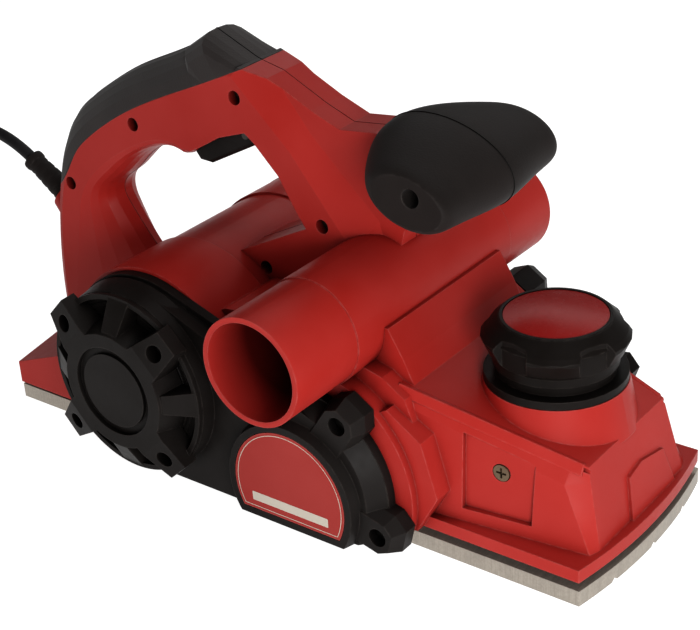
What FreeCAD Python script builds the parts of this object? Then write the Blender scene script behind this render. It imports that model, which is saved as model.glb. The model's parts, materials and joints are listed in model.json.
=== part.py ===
"""Electric hand planer, 110 mm cut.

Frame, in millimetres: X runs forward, Y runs to the far (right) side, Z is up.  The origin is at the
front lip of the rear sole, half way across it, on the plane that it planes.
"""
import FreeCAD, Part
import math
import os
from FreeCAD import Vector

# ---------------------------------------------------------------- driving dimensions
HALF_W = 57.5            # half of the sole's width
SOLE_T = 8.0             # thickness of both soles
REAR_X = -202.0          # rear end of the rear sole
FRONT_X = 148.0          # front corners of the front sole
FRONT_BULGE = 6.0        # how far its front edge bows forward
DEPTH_MAX = 3.0          # planing depth, the rise of the front sole

DRUM_X, DRUM_Z = 10.0, 27.5
CUT_R = 27.5             # circle of the cutting edges, tangent to the rear sole's plane
DRUM_R = 26.0
DRUM_HALF = 54.0
CHAMBER_R = 30.0
CHAMBER_HALF = 55.5

MOTOR_X, MOTOR_Z = -85.5, 58.0
MOTOR_R = 52.0           # outside of the motor barrel
MOTOR_BORE = 46.5
MOTOR_HALF = 66.0        # half length of the red barrel

FLANGE_Y = 66.0          # face of the side flanges that hold the drum's bearings
FLANGE_R = 57.0

TUBE_X, TUBE_Z = 15.2, 103.3
TUBE_R, TUBE_BORE = 26.9, 23.6
TUBE_Y0, TUBE_Y1 = -109.0, 98.6
DUCT_X0, DUCT_X1 = 0.0, 30.0
DUCT_HALF = 27.0

KNOB_X = 102.8
KNOB_Z = 84.0            # underside of the turning knob
RING_Z = 75.5            # underside of the scale ring
KNOB_BORE = 5.2
SPINDLE_R = 5.0

HANDLE_HALF = 18.0
WALL = 3.5

SHAFT_R = 6.0            # drum shaft in its bearings
BEARING_R = 14.0
BEARING_W = 8.0
ARM_SHAFT_R = 4.0
ARM_BEARING_R = 11.0
RUN = 0.05               # radial running clearance in bearings
PULLEY_Y0, PULLEY_Y1 = -76.0, -68.0
DRUM_PULLEY_R, MOTOR_PULLEY_R = 15.2, 9.5
BELT_T = 2.4
BELT_GAP = 0.3

CORD_R = 3.25
COIL_X, COIL_Y = -414.0, -23.25
COIL_IN, COIL_OUT, COIL_H = 26.0, 45.5, 19.5

parts = {}


# ---------------------------------------------------------------- small helpers
def closed_face(points):
    return Part.Face(Part.makePolygon(points + [points[0]]))


def prism_y(outline, y0, y1):
    """A solid from an outline of (x, z) pairs, between two y planes."""
    return closed_face([Vector(x, y0, z) for x, z in outline]).extrude(Vector(0, y1 - y0, 0))


def prism_z(outline, z0, z1):
    return closed_face([Vector(x, y, z0) for x, y in outline]).extrude(Vector(0, 0, z1 - z0))


def prism_x(outline, x0, x1):
    return closed_face([Vector(x0, y, z) for y, z in outline]).extrude(Vector(x1 - x0, 0, 0))


def box(x0, x1, y0, y1, z0, z1):
    return Part.makeBox(x1 - x0, y1 - y0, z1 - z0, Vector(x0, y0, z0))


def cyl_y(x, z, radius, y0, y1):
    return Part.makeCylinder(radius, y1 - y0, Vector(x, y0, z), Vector(0, 1, 0))


def cyl_z(x, y, radius, z0, z1):
    return Part.makeCylinder(radius, z1 - z0, Vector(x, y, z0), Vector(0, 0, 1))


def cone_y(x, z, r0, r1, y0, y1):
    """A frustum of radius r0 at y0 and r1 at y1, with y0 below y1."""
    return Part.makeCone(r0, r1, y1 - y0, Vector(x, y0, z), Vector(0, 1, 0))


def ring_y(x, z, outer, inner, y0, y1):
    return cyl_y(x, z, outer, y0, y1).cut(cyl_y(x, z, inner, y0 - 1, y1 + 1))


def ring_z(x, y, outer, inner, z0, z1):
    return cyl_z(x, y, outer, z0, z1).cut(cyl_z(x, y, inner, z0 - 1, z1 + 1))


def loft(sections):
    """A ruled solid through closed polygons with the same number of corners."""
    wires = [Part.makePolygon([Vector(*p) for p in s] + [Vector(*s[0])]) for s in sections]
    return Part.makeLoft(wires, True, True)


def mirrored(shape):
    return shape.mirror(Vector(0, 0, 0), Vector(0, 1, 0))


def both_sides(shape):
    return shape.fuse(mirrored(shape))


def union(shapes):
    result = shapes[0].fuse(list(shapes[1:])) if len(shapes) > 1 else shapes[0]
    return result.removeSplitter()


def group(shapes):
    """Separate solids that share one node."""
    solids = [solid for shape in shapes for solid in shape.Solids]
    return Part.makeCompound(solids)


def polar(x, z, radius, degrees):
    angle = math.radians(degrees)
    return x + radius * math.cos(angle), z + radius * math.sin(angle)


def hull_of_circles(x0, z0, r0, x1, z1, r1):
    """The outline of two circles and the belt round them, as lines and arcs in the XZ plane."""
    distance = math.hypot(x1 - x0, z1 - z0)
    along = math.atan2(z1 - z0, x1 - x0)
    lean = math.acos((r0 - r1) / distance)
    upper, lower = math.degrees(along + lean), math.degrees(along - lean)
    back, front = math.degrees(along) + 180, math.degrees(along)

    def at(x, z, r, degrees):
        px, pz = polar(x, z, r, degrees)
        return Vector(px, 0, pz)

    edges = [
        Part.LineSegment(at(x1, z1, r1, upper), at(x0, z0, r0, upper)).toShape(),
        Part.Arc(at(x0, z0, r0, upper), at(x0, z0, r0, back), at(x0, z0, r0, lower)).toShape(),
        Part.LineSegment(at(x0, z0, r0, lower), at(x1, z1, r1, lower)).toShape(),
        Part.Arc(at(x1, z1, r1, lower), at(x1, z1, r1, front), at(x1, z1, r1, upper)).toShape(),
    ]
    return Part.Face(Part.Wire(edges))


def slab_y(face, y0, y1):
    moved = face.copy()
    moved.translate(Vector(0, y0, 0))
    return moved.extrude(Vector(0, y1 - y0, 0))


def spline_wire(curve_points, line_points):
    """A closed XZ outline: a smooth curve through the first points, straight on through the others."""
    curve = Part.BSplineCurve()
    curve.interpolate([Vector(x, 0, z) for x, z in curve_points])
    corners = [Vector(x, 0, z) for x, z in [curve_points[-1]] + line_points + [curve_points[0]]]
    edges = [curve.toShape()]
    edges += [Part.LineSegment(a, b).toShape() for a, b in zip(corners, corners[1:])]
    return Part.Wire(edges)


# ---------------------------------------------------------------- soles
def front_outline(inset=0.0, rear=24.0):
    """Plan outline of the front sole and of the shell's skirt above it."""
    side = HALF_W - inset
    corner = FRONT_X - inset
    nose = FRONT_X + FRONT_BULGE - inset
    edges = [
        Part.LineSegment(Vector(corner, side, 0), Vector(rear, side, 0)).toShape(),
        Part.LineSegment(Vector(rear, side, 0), Vector(rear, -side, 0)).toShape(),
        Part.LineSegment(Vector(rear, -side, 0), Vector(corner, -side, 0)).toShape(),
        Part.Arc(Vector(corner, -side, 0), Vector(nose, 0, 0), Vector(corner, side, 0)).toShape(),
    ]
    return Part.Face(Part.Wire(edges))


def plan_slab(face, z0, z1):
    moved = face.copy()
    moved.translate(Vector(0, 0, z0))
    return moved.extrude(Vector(0, 0, z1 - z0))


SOLE_SCREWS = [(-186.0, -42.0), (-186.0, 42.0), (-26.0, -42.0), (-26.0, 42.0)]
SOLE_CLEAR_R = math.hypot(DRUM_X, DRUM_Z)


def rear_sole():
    plate = box(REAR_X, 0, -HALF_W, HALF_W, 0, SOLE_T)
    plate = plate.cut(cyl_y(DRUM_X, DRUM_Z, SOLE_CLEAR_R, -HALF_W - 1, HALF_W + 1))
    for x, y in SOLE_SCREWS:
        plate = plate.cut(cyl_z(x, y, 2.6, -1, SOLE_T + 1))
        plate = plate.cut(Part.makeCone(5.4, 2.6, 3.0, Vector(x, y, 0), Vector(0, 0, 1)))
    return plate


def sole_screws():
    screws = []
    for x, y in SOLE_SCREWS:
        head = Part.makeCone(4.9, 2.5, 2.4, Vector(x, y, 0.5), Vector(0, 0, 1))
        head = head.cut(cyl_z(x, y, 1.4, 0.4, 1.8))
        screws.append(head.fuse(cyl_z(x, y, 2.5, 2.9, 19.0)).removeSplitter())
    return group(screws)


SHOE_BOSS_R = 13.0
SHOE_BOSS_TOP = 24.0
SHOE_BORE_Z = 3.0          # bottom of the spindle's hole in that boss
SHELL_BOSS_Z = 40.0       # underside of the boss in the shell, over the front sole's boss


def front_shoe():
    plate = plan_slab(front_outline(), 0, SOLE_T)
    boss = cyl_z(KNOB_X, 0, SHOE_BOSS_R, SOLE_T, SHOE_BOSS_TOP)
    webs = [box(72, 140, -2.5, 2.5, SOLE_T, 13.0), box(KNOB_X - 2.5, KNOB_X + 2.5, -45, 45, SOLE_T, 13.0)]
    shoe = union([plate, boss] + webs)
    shoe = shoe.cut(cyl_z(KNOB_X, 0, KNOB_BORE, SHOE_BORE_Z, SHOE_BOSS_TOP + 1))
    for drop in (0.0, DEPTH_MAX):
        shoe = shoe.cut(cyl_y(DRUM_X, DRUM_Z - drop, SOLE_CLEAR_R, -HALF_W - 1, HALF_W + 1))
    for y in (-33.0, 0.0, 33.0):
        groove = prism_x([(y - 2.2, -0.1), (y + 2.2, -0.1), (y, 1.7)], 20, FRONT_X + FRONT_BULGE + 1)
        shoe = shoe.cut(groove)
    return shoe


# ---------------------------------------------------------------- red main housing
TOP_REAR = (57.0, 50.0, 78.7)      # rear corner of the front shell's sloping top, y positive
TOP_FRONT = (139.5, 34.7, 56.4)    # its front corner
SKIRT_Z0, SKIRT_Z1 = 12.0, 18.5


def rear_wedge(inset=0.0):
    """The sloping tail behind the motor: a ruled block, wider than it is high."""
    def section(x, edge_z):
        side = HALF_W - inset
        low, high = SOLE_T + inset, edge_z - 1.4 * inset
        return [(x, -side, low), (x, side, low), (x, side, high),
                (x, 20, high + 6), (x, -20, high + 6), (x, -side, high)]
    return loft([section(REAR_X - 1.0 + inset, 21.5 + 0.39 * inset), section(-128.0, 50.5)])


def front_block(inset=0.0):
    """The faceted shell over the front sole: sloping top, bevelled edges and cut front corners."""
    low = SKIRT_Z1 - 1.0

    def front_x(z):
        return 148.3 - 0.2262 * (z - low)

    def section(*corners):
        right = [(x - inset, y - inset, z) for x, y, z in corners]
        left = [(x, -y, z) for x, y, z in reversed(right)]
        return right + left
    top_z = 56.4 - inset
    return loft([section((49, 55.5, low), (49, 53.7, 73.0), (49, 51.5, 81.0 - inset)),
                 section((146.5, 45.0, low), (131.5, 42.0, 48.6), (133.0, 36.0, 58.2 - inset)),
                 section((front_x(low), 39.5, low), (front_x(49.0), 35.6, 49.0), (front_x(top_z), 34.7, top_z))])


def nose_pad():
    """The raised panel on the shell's front face."""
    outline = [(-12.5, 14.0), (-7.5, 37.8), (5.0, 40.0), (24.0, 36.5), (30.0, 14.0)]
    return prism_x(outline, 120.0, 160.0).common(front_block(-1.5))


def ridge_groove():
    """The fine groove under each long edge of the sloping top."""
    start, end = Vector(40, 52.6, 80.6), Vector(140.5, 34.9, 54.2)
    return both_sides(Part.makeCylinder(0.9, (end - start).Length, start, end - start))


def wall_y(x, z):
    """Half width of the front shell's side wall at a place along it."""
    t = (x - 49.0) / 90.0
    return 55.5 - 10.0 * t - (z - 17.5) / 50.0 * 2.4


def side_panel(x0, x1, z0, z1_rear, z1_front, depth):
    """A recess in the front shell's side walls, as deep everywhere, that stops below the bevel."""
    def section(x, z1):
        return [(x, 70, z0), (x, 70, z1), (x, wall_y(x, z1) - depth, z1), (x, wall_y(x, z0) - depth, z0)]
    return both_sides(loft([section(x0, z1_rear), section(x1, z1_front)]))


def centre_block():
    outline = [(-70, SOLE_T), (64, SOLE_T), (64, 60), (58, 76), (46, 84), (-12, 99), (-45, 95), (-70, 84)]
    return prism_y(outline, -56, 56)


def cradle():
    """The saddle that the chip tube rests in, with a steep face towards the knob."""
    outline = [(-20, 80), (-16, 104), (44, 104), (52, 90), (58, 77), (60, 60), (-20, 60)]
    return prism_y(outline, -47, 47)


def knob_cone():
    return Part.makeCone(38.0, 33.4, RING_Z - 54.0, Vector(KNOB_X, 0, 54.0), Vector(0, 0, 1))


def housing_outer():
    barrel = union([
        cyl_y(MOTOR_X, MOTOR_Z, MOTOR_R, -MOTOR_HALF, -26),
        cyl_y(MOTOR_X, MOTOR_Z, MOTOR_R - 1.2, -27, 39),
        cyl_y(MOTOR_X, MOTOR_Z, MOTOR_R, 38, MOTOR_HALF),
    ])
    flanges = cyl_y(DRUM_X, DRUM_Z, FLANGE_R, -FLANGE_Y, FLANGE_Y)
    tail = prism_y([(40, SOLE_T), (64, SOLE_T), (78, 33), (70, 60), (52, 72), (30, 60)], -62, 62)
    skirt = plan_slab(front_outline(0.4, 40.0), SKIRT_Z0, SKIRT_Z1)
    body = union([barrel, rear_wedge(), centre_block(), cradle(), flanges, tail,
                  front_block(), nose_pad(), skirt, knob_cone()])
    floor = box(-260, 30, -120, 120, -60, SOLE_T)
    front_floor = box(28, 200, -120, 120, -60, SKIRT_Z0)
    return body.cut(floor.fuse(front_floor))


def housing_cavities():
    front_inner = front_block(WALL)
    front_inner = front_inner.common(box(68, 143, -52, 52, 0, 70))
    front_open = plan_slab(front_outline(WALL, 68.0), SOLE_T, SKIRT_Z1 - 0.5)
    rear_inner = rear_wedge(WALL).common(box(-199, -150, -60, 60, 0, 60))
    return [
        cyl_y(MOTOR_X, MOTOR_Z, MOTOR_BORE, -MOTOR_HALF + 8.5, MOTOR_HALF - 8.5),
        cyl_y(DRUM_X, DRUM_Z, CHAMBER_R, -CHAMBER_HALF, CHAMBER_HALF),
        box(DRUM_X - 22, DRUM_X + 22, -CHAMBER_HALF, CHAMBER_HALF, 0, DRUM_Z),
        box(DUCT_X0, DUCT_X1, -DUCT_HALF, DUCT_HALF, 45, TUBE_Z),
        front_inner,
        front_open,
        rear_inner,
    ]


LABEL_X, LABEL_Z = 10.0, 25.0
SIDE_LUGS = [(37.3, 68.0), (56.5, 15.3)]
GUIDE_X, GUIDE_Z = 101.5, 46.5
HANDLE_HOLES = [(-183.8, 116.9), (-131.4, 159.5), (-61.2, 185.5), (-13.4, 129.6), (-50.5, 99.3)]


def main_housing():
    body = housing_outer()
    for cavity in housing_cavities():
        body = body.cut(cavity)
    boss = cyl_z(KNOB_X, 0, 12.0, SHELL_BOSS_Z, 60.0)
    guide_boss = both_sides(cyl_y(GUIDE_X, GUIDE_Z, 7.0, -46.0, -36.0))
    posts = [cyl_z(x, y, 6.5, SOLE_T, 22.0) for x, y in SOLE_SCREWS[:2]]
    body = union([body, boss, guide_boss] + posts)
    cutters = [
        cyl_y(TUBE_X, TUBE_Z, TUBE_R, -120, 120),
        cyl_z(KNOB_X, 0, KNOB_BORE, 38.0, 90.0),
        cyl_z(KNOB_X, 0, 33.3, RING_Z, 100.0),
        side_panel(84.0, 118.0, 25.0, 63.5, 54.5, 3.0),
        ridge_groove(),
        both_sides(cyl_y(GUIDE_X, GUIDE_Z, 3.05, -60, -35)),
        cyl_y(GUIDE_X, GUIDE_Z, 4.4, -60, -43.0),
    ]
    # seats of the drum's and motor's bearings, and the shaft holes beside them
    for side in (-1, 1):
        y0, y1 = sorted((side * (FLANGE_Y - BEARING_W - 0.5), side * (FLANGE_Y + 1)))
        cutters.append(cyl_y(DRUM_X, DRUM_Z, BEARING_R, y0, y1))
        y0, y1 = sorted((side * (MOTOR_HALF - BEARING_W - 0.5), side * (MOTOR_HALF + 1)))
        cutters.append(cyl_y(MOTOR_X, MOTOR_Z, ARM_BEARING_R, y0, y1))
    cutters.append(cyl_y(DRUM_X, DRUM_Z, 9.0, -70, 70))
    cutters.append(cyl_y(MOTOR_X, MOTOR_Z, 7.0, -70, 70))
    # air holes through the barrel's end walls
    for side in (-1, 1):
        y0, y1 = sorted((side * 50, side * 70))
        for step in range(8):
            x, z = polar(MOTOR_X, MOTOR_Z, 29.0, 22.5 + 45 * step)
            cutters.append(cyl_y(x, z, 6.5, y0, y1))
    for x, y in SOLE_SCREWS:
        cutters.append(cyl_z(x, y, 2.5, 0, 19.0))
    for side in (-1, 1):
        for x, z in SIDE_LUGS:
            y0, y1 = sorted((side * 50, side * 70))
            cutters.append(cyl_y(x, z, 2.0, y0, y1))
    # rebate that shows as a dark line above the rear sole
    rim = box(REAR_X - 2, -30, -HALF_W - 2, HALF_W + 2, SOLE_T - 1, SOLE_T + 1)
    rim = rim.cut(box(REAR_X + 1.2, -29, -HALF_W + 1.2, HALF_W - 1.2, SOLE_T - 2, SOLE_T + 2))
    cutters.append(rim)
    for cutter in cutters:
        body = body.cut(cutter)
    solids = sorted(body.Solids, key=lambda solid: solid.Volume)
    return solids[-1]


# ---------------------------------------------------------------- handle
CROWN = (0.0, 0.35, 0.6, 0.8, 0.93, 1.0)


def part_way(centre, side, across, power=2.0):
    """An outline between the middle one and the side one, so that a cut across is a rounded crown."""
    share = 1.0 - (1.0 - across ** power) ** (1.0 / power)
    return [(cx + (sx - cx) * share, cz + (sz - cz) * share) for (cx, cz), (sx, sz) in zip(centre, side)]


def crowned(centre, side, lines):
    """A solid from the middle plane to the handle's side, closed by the same lines all the way."""
    wires = []
    for across in CROWN:
        wire = spline_wire(part_way(centre, side, across), lines)
        wire.translate(Vector(0, HANDLE_HALF * across, 0))
        wires.append(wire)
    return Part.makeLoft(wires, True, True)


def handle_arch():
    """The rear post and the top of the handle, round on the outside."""
    centre = [(-205, 22), (-207.5, 45), (-206.5, 70), (-203, 94), (-198.5, 117), (-192.5, 137),
              (-183, 154.5), (-164, 169.5), (-137, 185), (-113.5, 195), (-97, 202.5), (-84, 209.5)]
    side = [(-199, 22), (-200, 45), (-198.5, 70), (-195, 94), (-190.5, 112), (-184.5, 126),
            (-176.5, 135.9), (-162.3, 148.5), (-136.5, 164.8), (-113, 175.5), (-97, 182.5), (-80, 190)]
    return crowned(centre, side, [(-80, 60), (-140, 22)])


def hood():
    """The peak at the front of the soft grip."""
    middle = [(-97, 203), (-84, 211.5), (-59.3, 200.2), (-59.3, 150), (-97, 150)]
    side = [(-81, 189.6), (-72, 194.5), (-62.4, 196), (-62.4, 150), (-81, 150)]
    return loft([[(x, HANDLE_HALF * across, z) for x, z in part_way(middle, side, across, 3.0)]
                 for across in CROWN])


def strut():
    """The front leg and the neck that carries the front grip, before its sides are cut."""
    outline = [(-90, 84), (-90, 186), (-62.4, 195.9), (-59.3, 200.2), (-44, 196.5), (-20, 184.5), (-4, 178.0),
               (16, 180.0), (40, 176), (40, 152), (30, 134), (24, 112), (-20, 94), (-60, 84)]
    return prism_y(outline, -HANDLE_HALF, HANDLE_HALF)


def finger_opening():
    """The gap that the fingers go through, from the barrel's top to the trigger."""
    centre = [(-124, 66), (-136, 76), (-150, 92), (-158, 103), (-162, 112), (-160, 117.5), (-151, 125),
              (-138, 137), (-122, 146), (-108, 148.5), (-99, 147)]
    side = [(-196, 30), (-190.2, 54.9), (-184.5, 82), (-181, 97), (-177.7, 109.1), (-173, 117.5),
            (-165.2, 126), (-147.2, 139.6), (-127.8, 150.1), (-112, 154.8), (-99.5, 152.6)]
    lines = [(-94, 152.0), (-86, 156.0), (-74, 163.0), (-57, 168.5), (-51.7, 164.6), (-38.0, 150.4),
             (-31.1, 138.2), (-23.5, 126.2), (-68.5, 104.0), (-80, 80), (-100, 50)]
    half = crowned(centre, side, lines)
    edge = Part.Face(spline_wire(side, lines))
    edge.translate(Vector(0, HANDLE_HALF, 0))
    return both_sides(half.fuse(edge.extrude(Vector(0, 3, 0))))


def strut_front(y_line):
    """Region in front of the strut's crease; it starts further forward nearer the middle."""
    if y_line >= HANDLE_HALF:
        corners = [(-62.4, 195.9), (-29.6, 163.9), (4.0, 120.4), (14, 96)]
    else:
        corners = [(-52.0, 213.0), (-20.5, 172.5), (16.0, 136.6), (27, 96)]
    return corners + [(90, 96), (90, 240), (-62.4, 240)]


def handle_solid():
    front = strut()
    outer, inner = strut_front(18.0), strut_front(12.0)
    shoulder = loft([[(x, -18.01, z) for x, z in outer], [(x, -12.0, z) for x, z in inner]])
    front = front.cut(both_sides(shoulder))
    front = front.cut(both_sides(prism_y(inner[:4] + [(90, 96), (90, 240), (-52, 240)], -19, -12.0)))
    body = union([both_sides(handle_arch()), both_sides(hood()), front])
    return body.cut(finger_opening())


def bulge():
    """The rounded swelling on the back of the rear post where the cord comes out."""
    start = GUARD_TIP - GUARD_AXIS * 50.0
    return Part.makeCone(14.0, 9.0, 21.0, start, GUARD_AXIS)


GUARD_AXIS = Vector(-12.6, 0, 8.2).normalize()
GUARD_TIP = Vector(-233.0, 0, 115.0)


def handle_shell(outside):
    """Both halves of the handle together, hollowed, with screw posts and pockets."""
    shell = handle_solid().fuse(bulge())
    cavity_outline = [(-196, 66), (-193, 105), (-186, 125), (-174, 142), (-158, 154), (-136, 168),
                      (-112, 179), (-92, 187), (-66, 190), (-36, 164), (-8, 134), (-20, 128), (-36, 153),
                      (-53, 172), (-84, 165), (-100, 158), (-120, 157), (-148, 146), (-172, 126), (-181, 105),
                      (-185, 84), (-187, 66)]
    cavity = prism_y(cavity_outline, -13.0, 13.0)
    posts = [cyl_y(x, z, 5.0, -13.0, 13.0) for x, z in HANDLE_HOLES[:4]]
    cavity = cavity.cut(union(posts))
    shell = shell.cut(cavity)
    shell = shell.cut(outside)
    shell = shell.cut(cyl_y(TUBE_X, TUBE_Z, TUBE_R, -120, 120))
    # slot for the trigger, hole for the cord guard
    shell = shell.cut(box(-104.5, -56.5, -8.6, 8.6, 138, 172))
    shell = shell.cut(Part.makeCylinder(7.2, 60.0, GUARD_TIP - GUARD_AXIS * 62.0, GUARD_AXIS))
    for x, z in HANDLE_HOLES:
        shell = shell.cut(cyl_y(x, z, 3.6, -30, -11.0))
        shell = shell.cut(cyl_y(x, z, 1.9, -12, 14.0))
    return shell


def main_solid(shape):
    return sorted(shape.Solids, key=lambda solid: solid.Volume)[-1]


def grip_region():
    """Everything above the line where the soft grip meets the red handle."""
    edge = [(-196, 112), (-183.2, 126), (-176.5, 135.9), (-162.3, 148.5), (-136.5, 164.8), (-91.4, 185.1),
            (-62.6, 197.3)]
    top = [(-50, 202.5), (-50, 240), (-240, 240), (-240, 106)]
    face = Part.Face(spline_wire(edge, top))
    region = face.extrude(Vector(0, 60, 0))
    region.translate(Vector(0, -30, 0))
    return region


def handle_screws():
    screws = []
    for x, z in HANDLE_HOLES:
        head = cyl_y(x, z, 3.3, -13.5, -11.0).cut(cyl_y(x, z, 1.3, -14, -12.0))
        screws.append(head.fuse(cyl_y(x, z, 1.9, -11.0, 12.0)).removeSplitter())
    return group(screws)


# ---------------------------------------------------------------- front grip
TEE_TILT = -13.0
TEE_HALF = 47.0
TEE_BOLT_X, TEE_BOLT_Z = 59.5, 170.5
TEE_BOLT_R = 3.0
# half lengths of the section across, its half height, and its centre, at each distance from the middle
TEE_SECTIONS = [(0.0, 34.4, 19.1, 48.3, 169.6), (14.0, 32.6, 18.3, 48.9, 169.4), (28.0, 28.4, 16.5, 51.2, 168.8),
                (38.0, 24.8, 14.9, 53.7, 168.1), (43.5, 22.2, 13.7, 55.5, 167.8), (TEE_HALF, 18.6, 11.4, 57.0, 168.0)]


def tee_barrel():
    """The swollen bar of the front grip, oval in section, with its ends swept forward."""
    wires = []
    mirrored_sections = [(-y, a, b, x, z) for y, a, b, x, z in reversed(TEE_SECTIONS[1:])]
    tilt = math.radians(TEE_TILT)
    for y, long_r, short_r, x, z in mirrored_sections + TEE_SECTIONS:
        axis = Vector(math.cos(tilt), 0, math.sin(tilt))
        oval = Part.Ellipse(Vector(x, y, z) + axis * long_r,
                            Vector(x, y, z) + Vector(-axis.z, 0, axis.x) * short_r, Vector(x, y, z))
        wires.append(Part.Wire(oval.toShape()))
    return Part.makeLoft(wires, True, False)


def tee_grip(neck):
    barrel = tee_barrel()
    for end in (-1, 1):
        y0, y1 = sorted((end * (TEE_HALF - 14.0), end * (TEE_HALF + 5)))
        barrel = barrel.cut(cyl_y(TEE_BOLT_X, TEE_BOLT_Z, 4.4, y0, y1))
    barrel = barrel.cut(cyl_y(TEE_BOLT_X, TEE_BOLT_Z, TEE_BOLT_R, -80, 80))
    return barrel.cut(neck)


def tee_bolts():
    """A bolt through the far half and its nut in the near half hold the front grip together."""
    head = cyl_y(TEE_BOLT_X, TEE_BOLT_Z, 4.3, TEE_HALF - 14.0, TEE_HALF - 10.0)
    shank = cyl_y(TEE_BOLT_X, TEE_BOLT_Z, TEE_BOLT_R, -TEE_HALF + 14.0, TEE_HALF - 14.0)
    return head.fuse(shank).removeSplitter()


# ---------------------------------------------------------------- chip tube
def chip_tube():
    outer = cyl_y(TUBE_X, TUBE_Z, TUBE_R - 0.6, TUBE_Y0, TUBE_Y1)
    outer = outer.fuse(cyl_y(TUBE_X, TUBE_Z, TUBE_R, -66.0, 60.0)).removeSplitter()
    tube = outer.cut(cyl_y(TUBE_X, TUBE_Z, TUBE_BORE, TUBE_Y0 - 1, TUBE_Y1 + 1))
    return tube.cut(box(DUCT_X0 + 0.5, DUCT_X1 - 0.5, -DUCT_HALF + 0.5, DUCT_HALF - 0.5, 60, TUBE_Z))


# ---------------------------------------------------------------- black covers
COVER_Y = 73.0
PANEL_Y = 79.0
BOSS_Y = 85.0
RIM_Y = 86.0
FAR_LUG = 9.0            # how much longer the screw lugs are on the far side
CAP_Y = 98.0


def lug(x, z, longer=0.0):
    """A faceted screw lug standing out from the drum axis, on the near side."""
    lean = math.degrees(math.atan2(z - DRUM_Z, x - DRUM_X))
    reach = math.hypot(x - DRUM_X, z - DRUM_Z)

    def section(y, size, tip):
        out = [(reach + tip, -0.55 * size), (reach + tip, 0.55 * size), (reach + 0.3 * tip, size), (30.0, size),
               (30.0, -size), (reach + 0.3 * tip, -size)]
        a = math.radians(lean)
        return [(DRUM_X + u * math.cos(a) - v * math.sin(a), y, DRUM_Z + u * math.sin(a) + v * math.cos(a))
                for u, v in out]
    return loft([section(-62.0, 11.0, 10.5), section(-73.0 - longer, 11.0, 10.5),
                 section(-80.0 - longer, 8.5, 7.0)])


def belt_cover():
    base = slab_y(hull_of_circles(MOTOR_X, MOTOR_Z, 50.2, DRUM_X, DRUM_Z, 47.5), -COVER_Y + 2, -FLANGE_Y)
    panel = slab_y(hull_of_circles(MOTOR_X, MOTOR_Z, 48.5, DRUM_X, DRUM_Z, 40.5), -PANEL_Y, -COVER_Y + 2)
    slope = cone_y(DRUM_X, DRUM_Z, 40.5, 47.0, -PANEL_Y, -COVER_Y + 2)
    boss = cone_y(LABEL_X, LABEL_Z, 36.0, 37.5, -BOSS_Y, -PANEL_Y)
    rim = cone_y(MOTOR_X, MOTOR_Z, 47.4, 49.4, -RIM_Y, -COVER_Y)
    cover = union([base, panel, slope, boss, rim] + [lug(x, z) for x, z in SIDE_LUGS])
    cover = cover.cut(box(-200, 120, -120, 0, -60, 6.0))
    cover = cover.cut(box(-200, 120, -FLANGE_Y, 0, -60, 200))
    inner = slab_y(hull_of_circles(MOTOR_X, MOTOR_Z, 24.0, DRUM_X, DRUM_Z, 30.0), -PANEL_Y + 2.4, -FLANGE_Y)
    cover = cover.cut(inner.cut(box(-200, 120, -120, 0, -60, 9.0)))
    cover = cover.cut(cyl_y(LABEL_X, LABEL_Z, 15.0, -BOSS_Y + 2.6, -PANEL_Y + 3))
    # the motor end is open, so that air leaves through the vent cap
    cover = cover.cut(cyl_y(MOTOR_X, MOTOR_Z, 45.0, -RIM_Y - 1, -PANEL_Y + 1))
    cover = cover.cut(cyl_y(MOTOR_X, MOTOR_Z, 42.0, -RIM_Y - 1, -FLANGE_Y + 1))
    # seat of the rating plate
    seat = cyl_y(LABEL_X, LABEL_Z, 32.5, -BOSS_Y - 1, -BOSS_Y + 0.6)
    cover = cover.cut(seat.cut(box(-200, 120, -120, 0, -60, 9.7)))
    for x, z in SIDE_LUGS:
        cover = cover.cut(cyl_y(x, z, 4.6, -90, -72.0))
        cover = cover.cut(cyl_y(x, z, 2.1, -90, 0))
    cover = cover.cut(cyl_y(TUBE_X, TUBE_Z, TUBE_R + 0.3, -120, 0))
    return main_solid(cover)


def cover_screws(side, head_y):
    """Pan-head screws of a side cover; side is -1 for the near side."""
    screws = []
    for x, z in SIDE_LUGS:
        y0, y1 = sorted((side * head_y, side * (head_y + 3.0)))
        head = cyl_y(x, z, 4.2, y0, y1)
        y0, y1 = sorted((side * (head_y + 1.4), side * (head_y + 4)))
        head = head.cut(cyl_y(x, z, 1.5, y0, y1))
        y0, y1 = sorted((side * 50.0, side * head_y))
        screws.append(head.fuse(cyl_y(x, z, 2.0, y0, y1)).removeSplitter())
    return group(screws)


ARM_ANGLES = [43.5, 136.0, 221.0, 312.5]
RIB_ANGLES = [2.0, 87.0, 178.0, 267.0]
ARM_SCREW_R = 41.0


def radial_bar(angle, r0, r1, width0, width1, y0, y1):
    """A bar that stands out from the motor axis at an angle, tapering from width0 to width1."""
    def corner(r, w):
        a = math.radians(angle)
        return (MOTOR_X + r * math.cos(a) - w * math.sin(a), MOTOR_Z + r * math.sin(a) + w * math.cos(a))
    outline = [corner(r0, -width0 / 2), corner(r1, -width1 / 2), corner(r1, width1 / 2), corner(r0, width0 / 2)]
    return prism_y(outline, y0, y1)


def cap_arm(angle, stations):
    """A spoke of the vent cap, from stations of (radius, width, outer y, inner y)."""
    a = math.radians(angle)

    def section(r, width, y_out, y_in):
        corners = [(-width / 2, y_out), (width / 2, y_out), (width / 2 + 1, y_in), (-width / 2 - 1, y_in)]
        return [(MOTOR_X + r * math.cos(a) - w * math.sin(a), y, MOTOR_Z + r * math.sin(a) + w * math.cos(a))
                for w, y in corners]
    return loft([section(*station) for station in stations])


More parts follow.
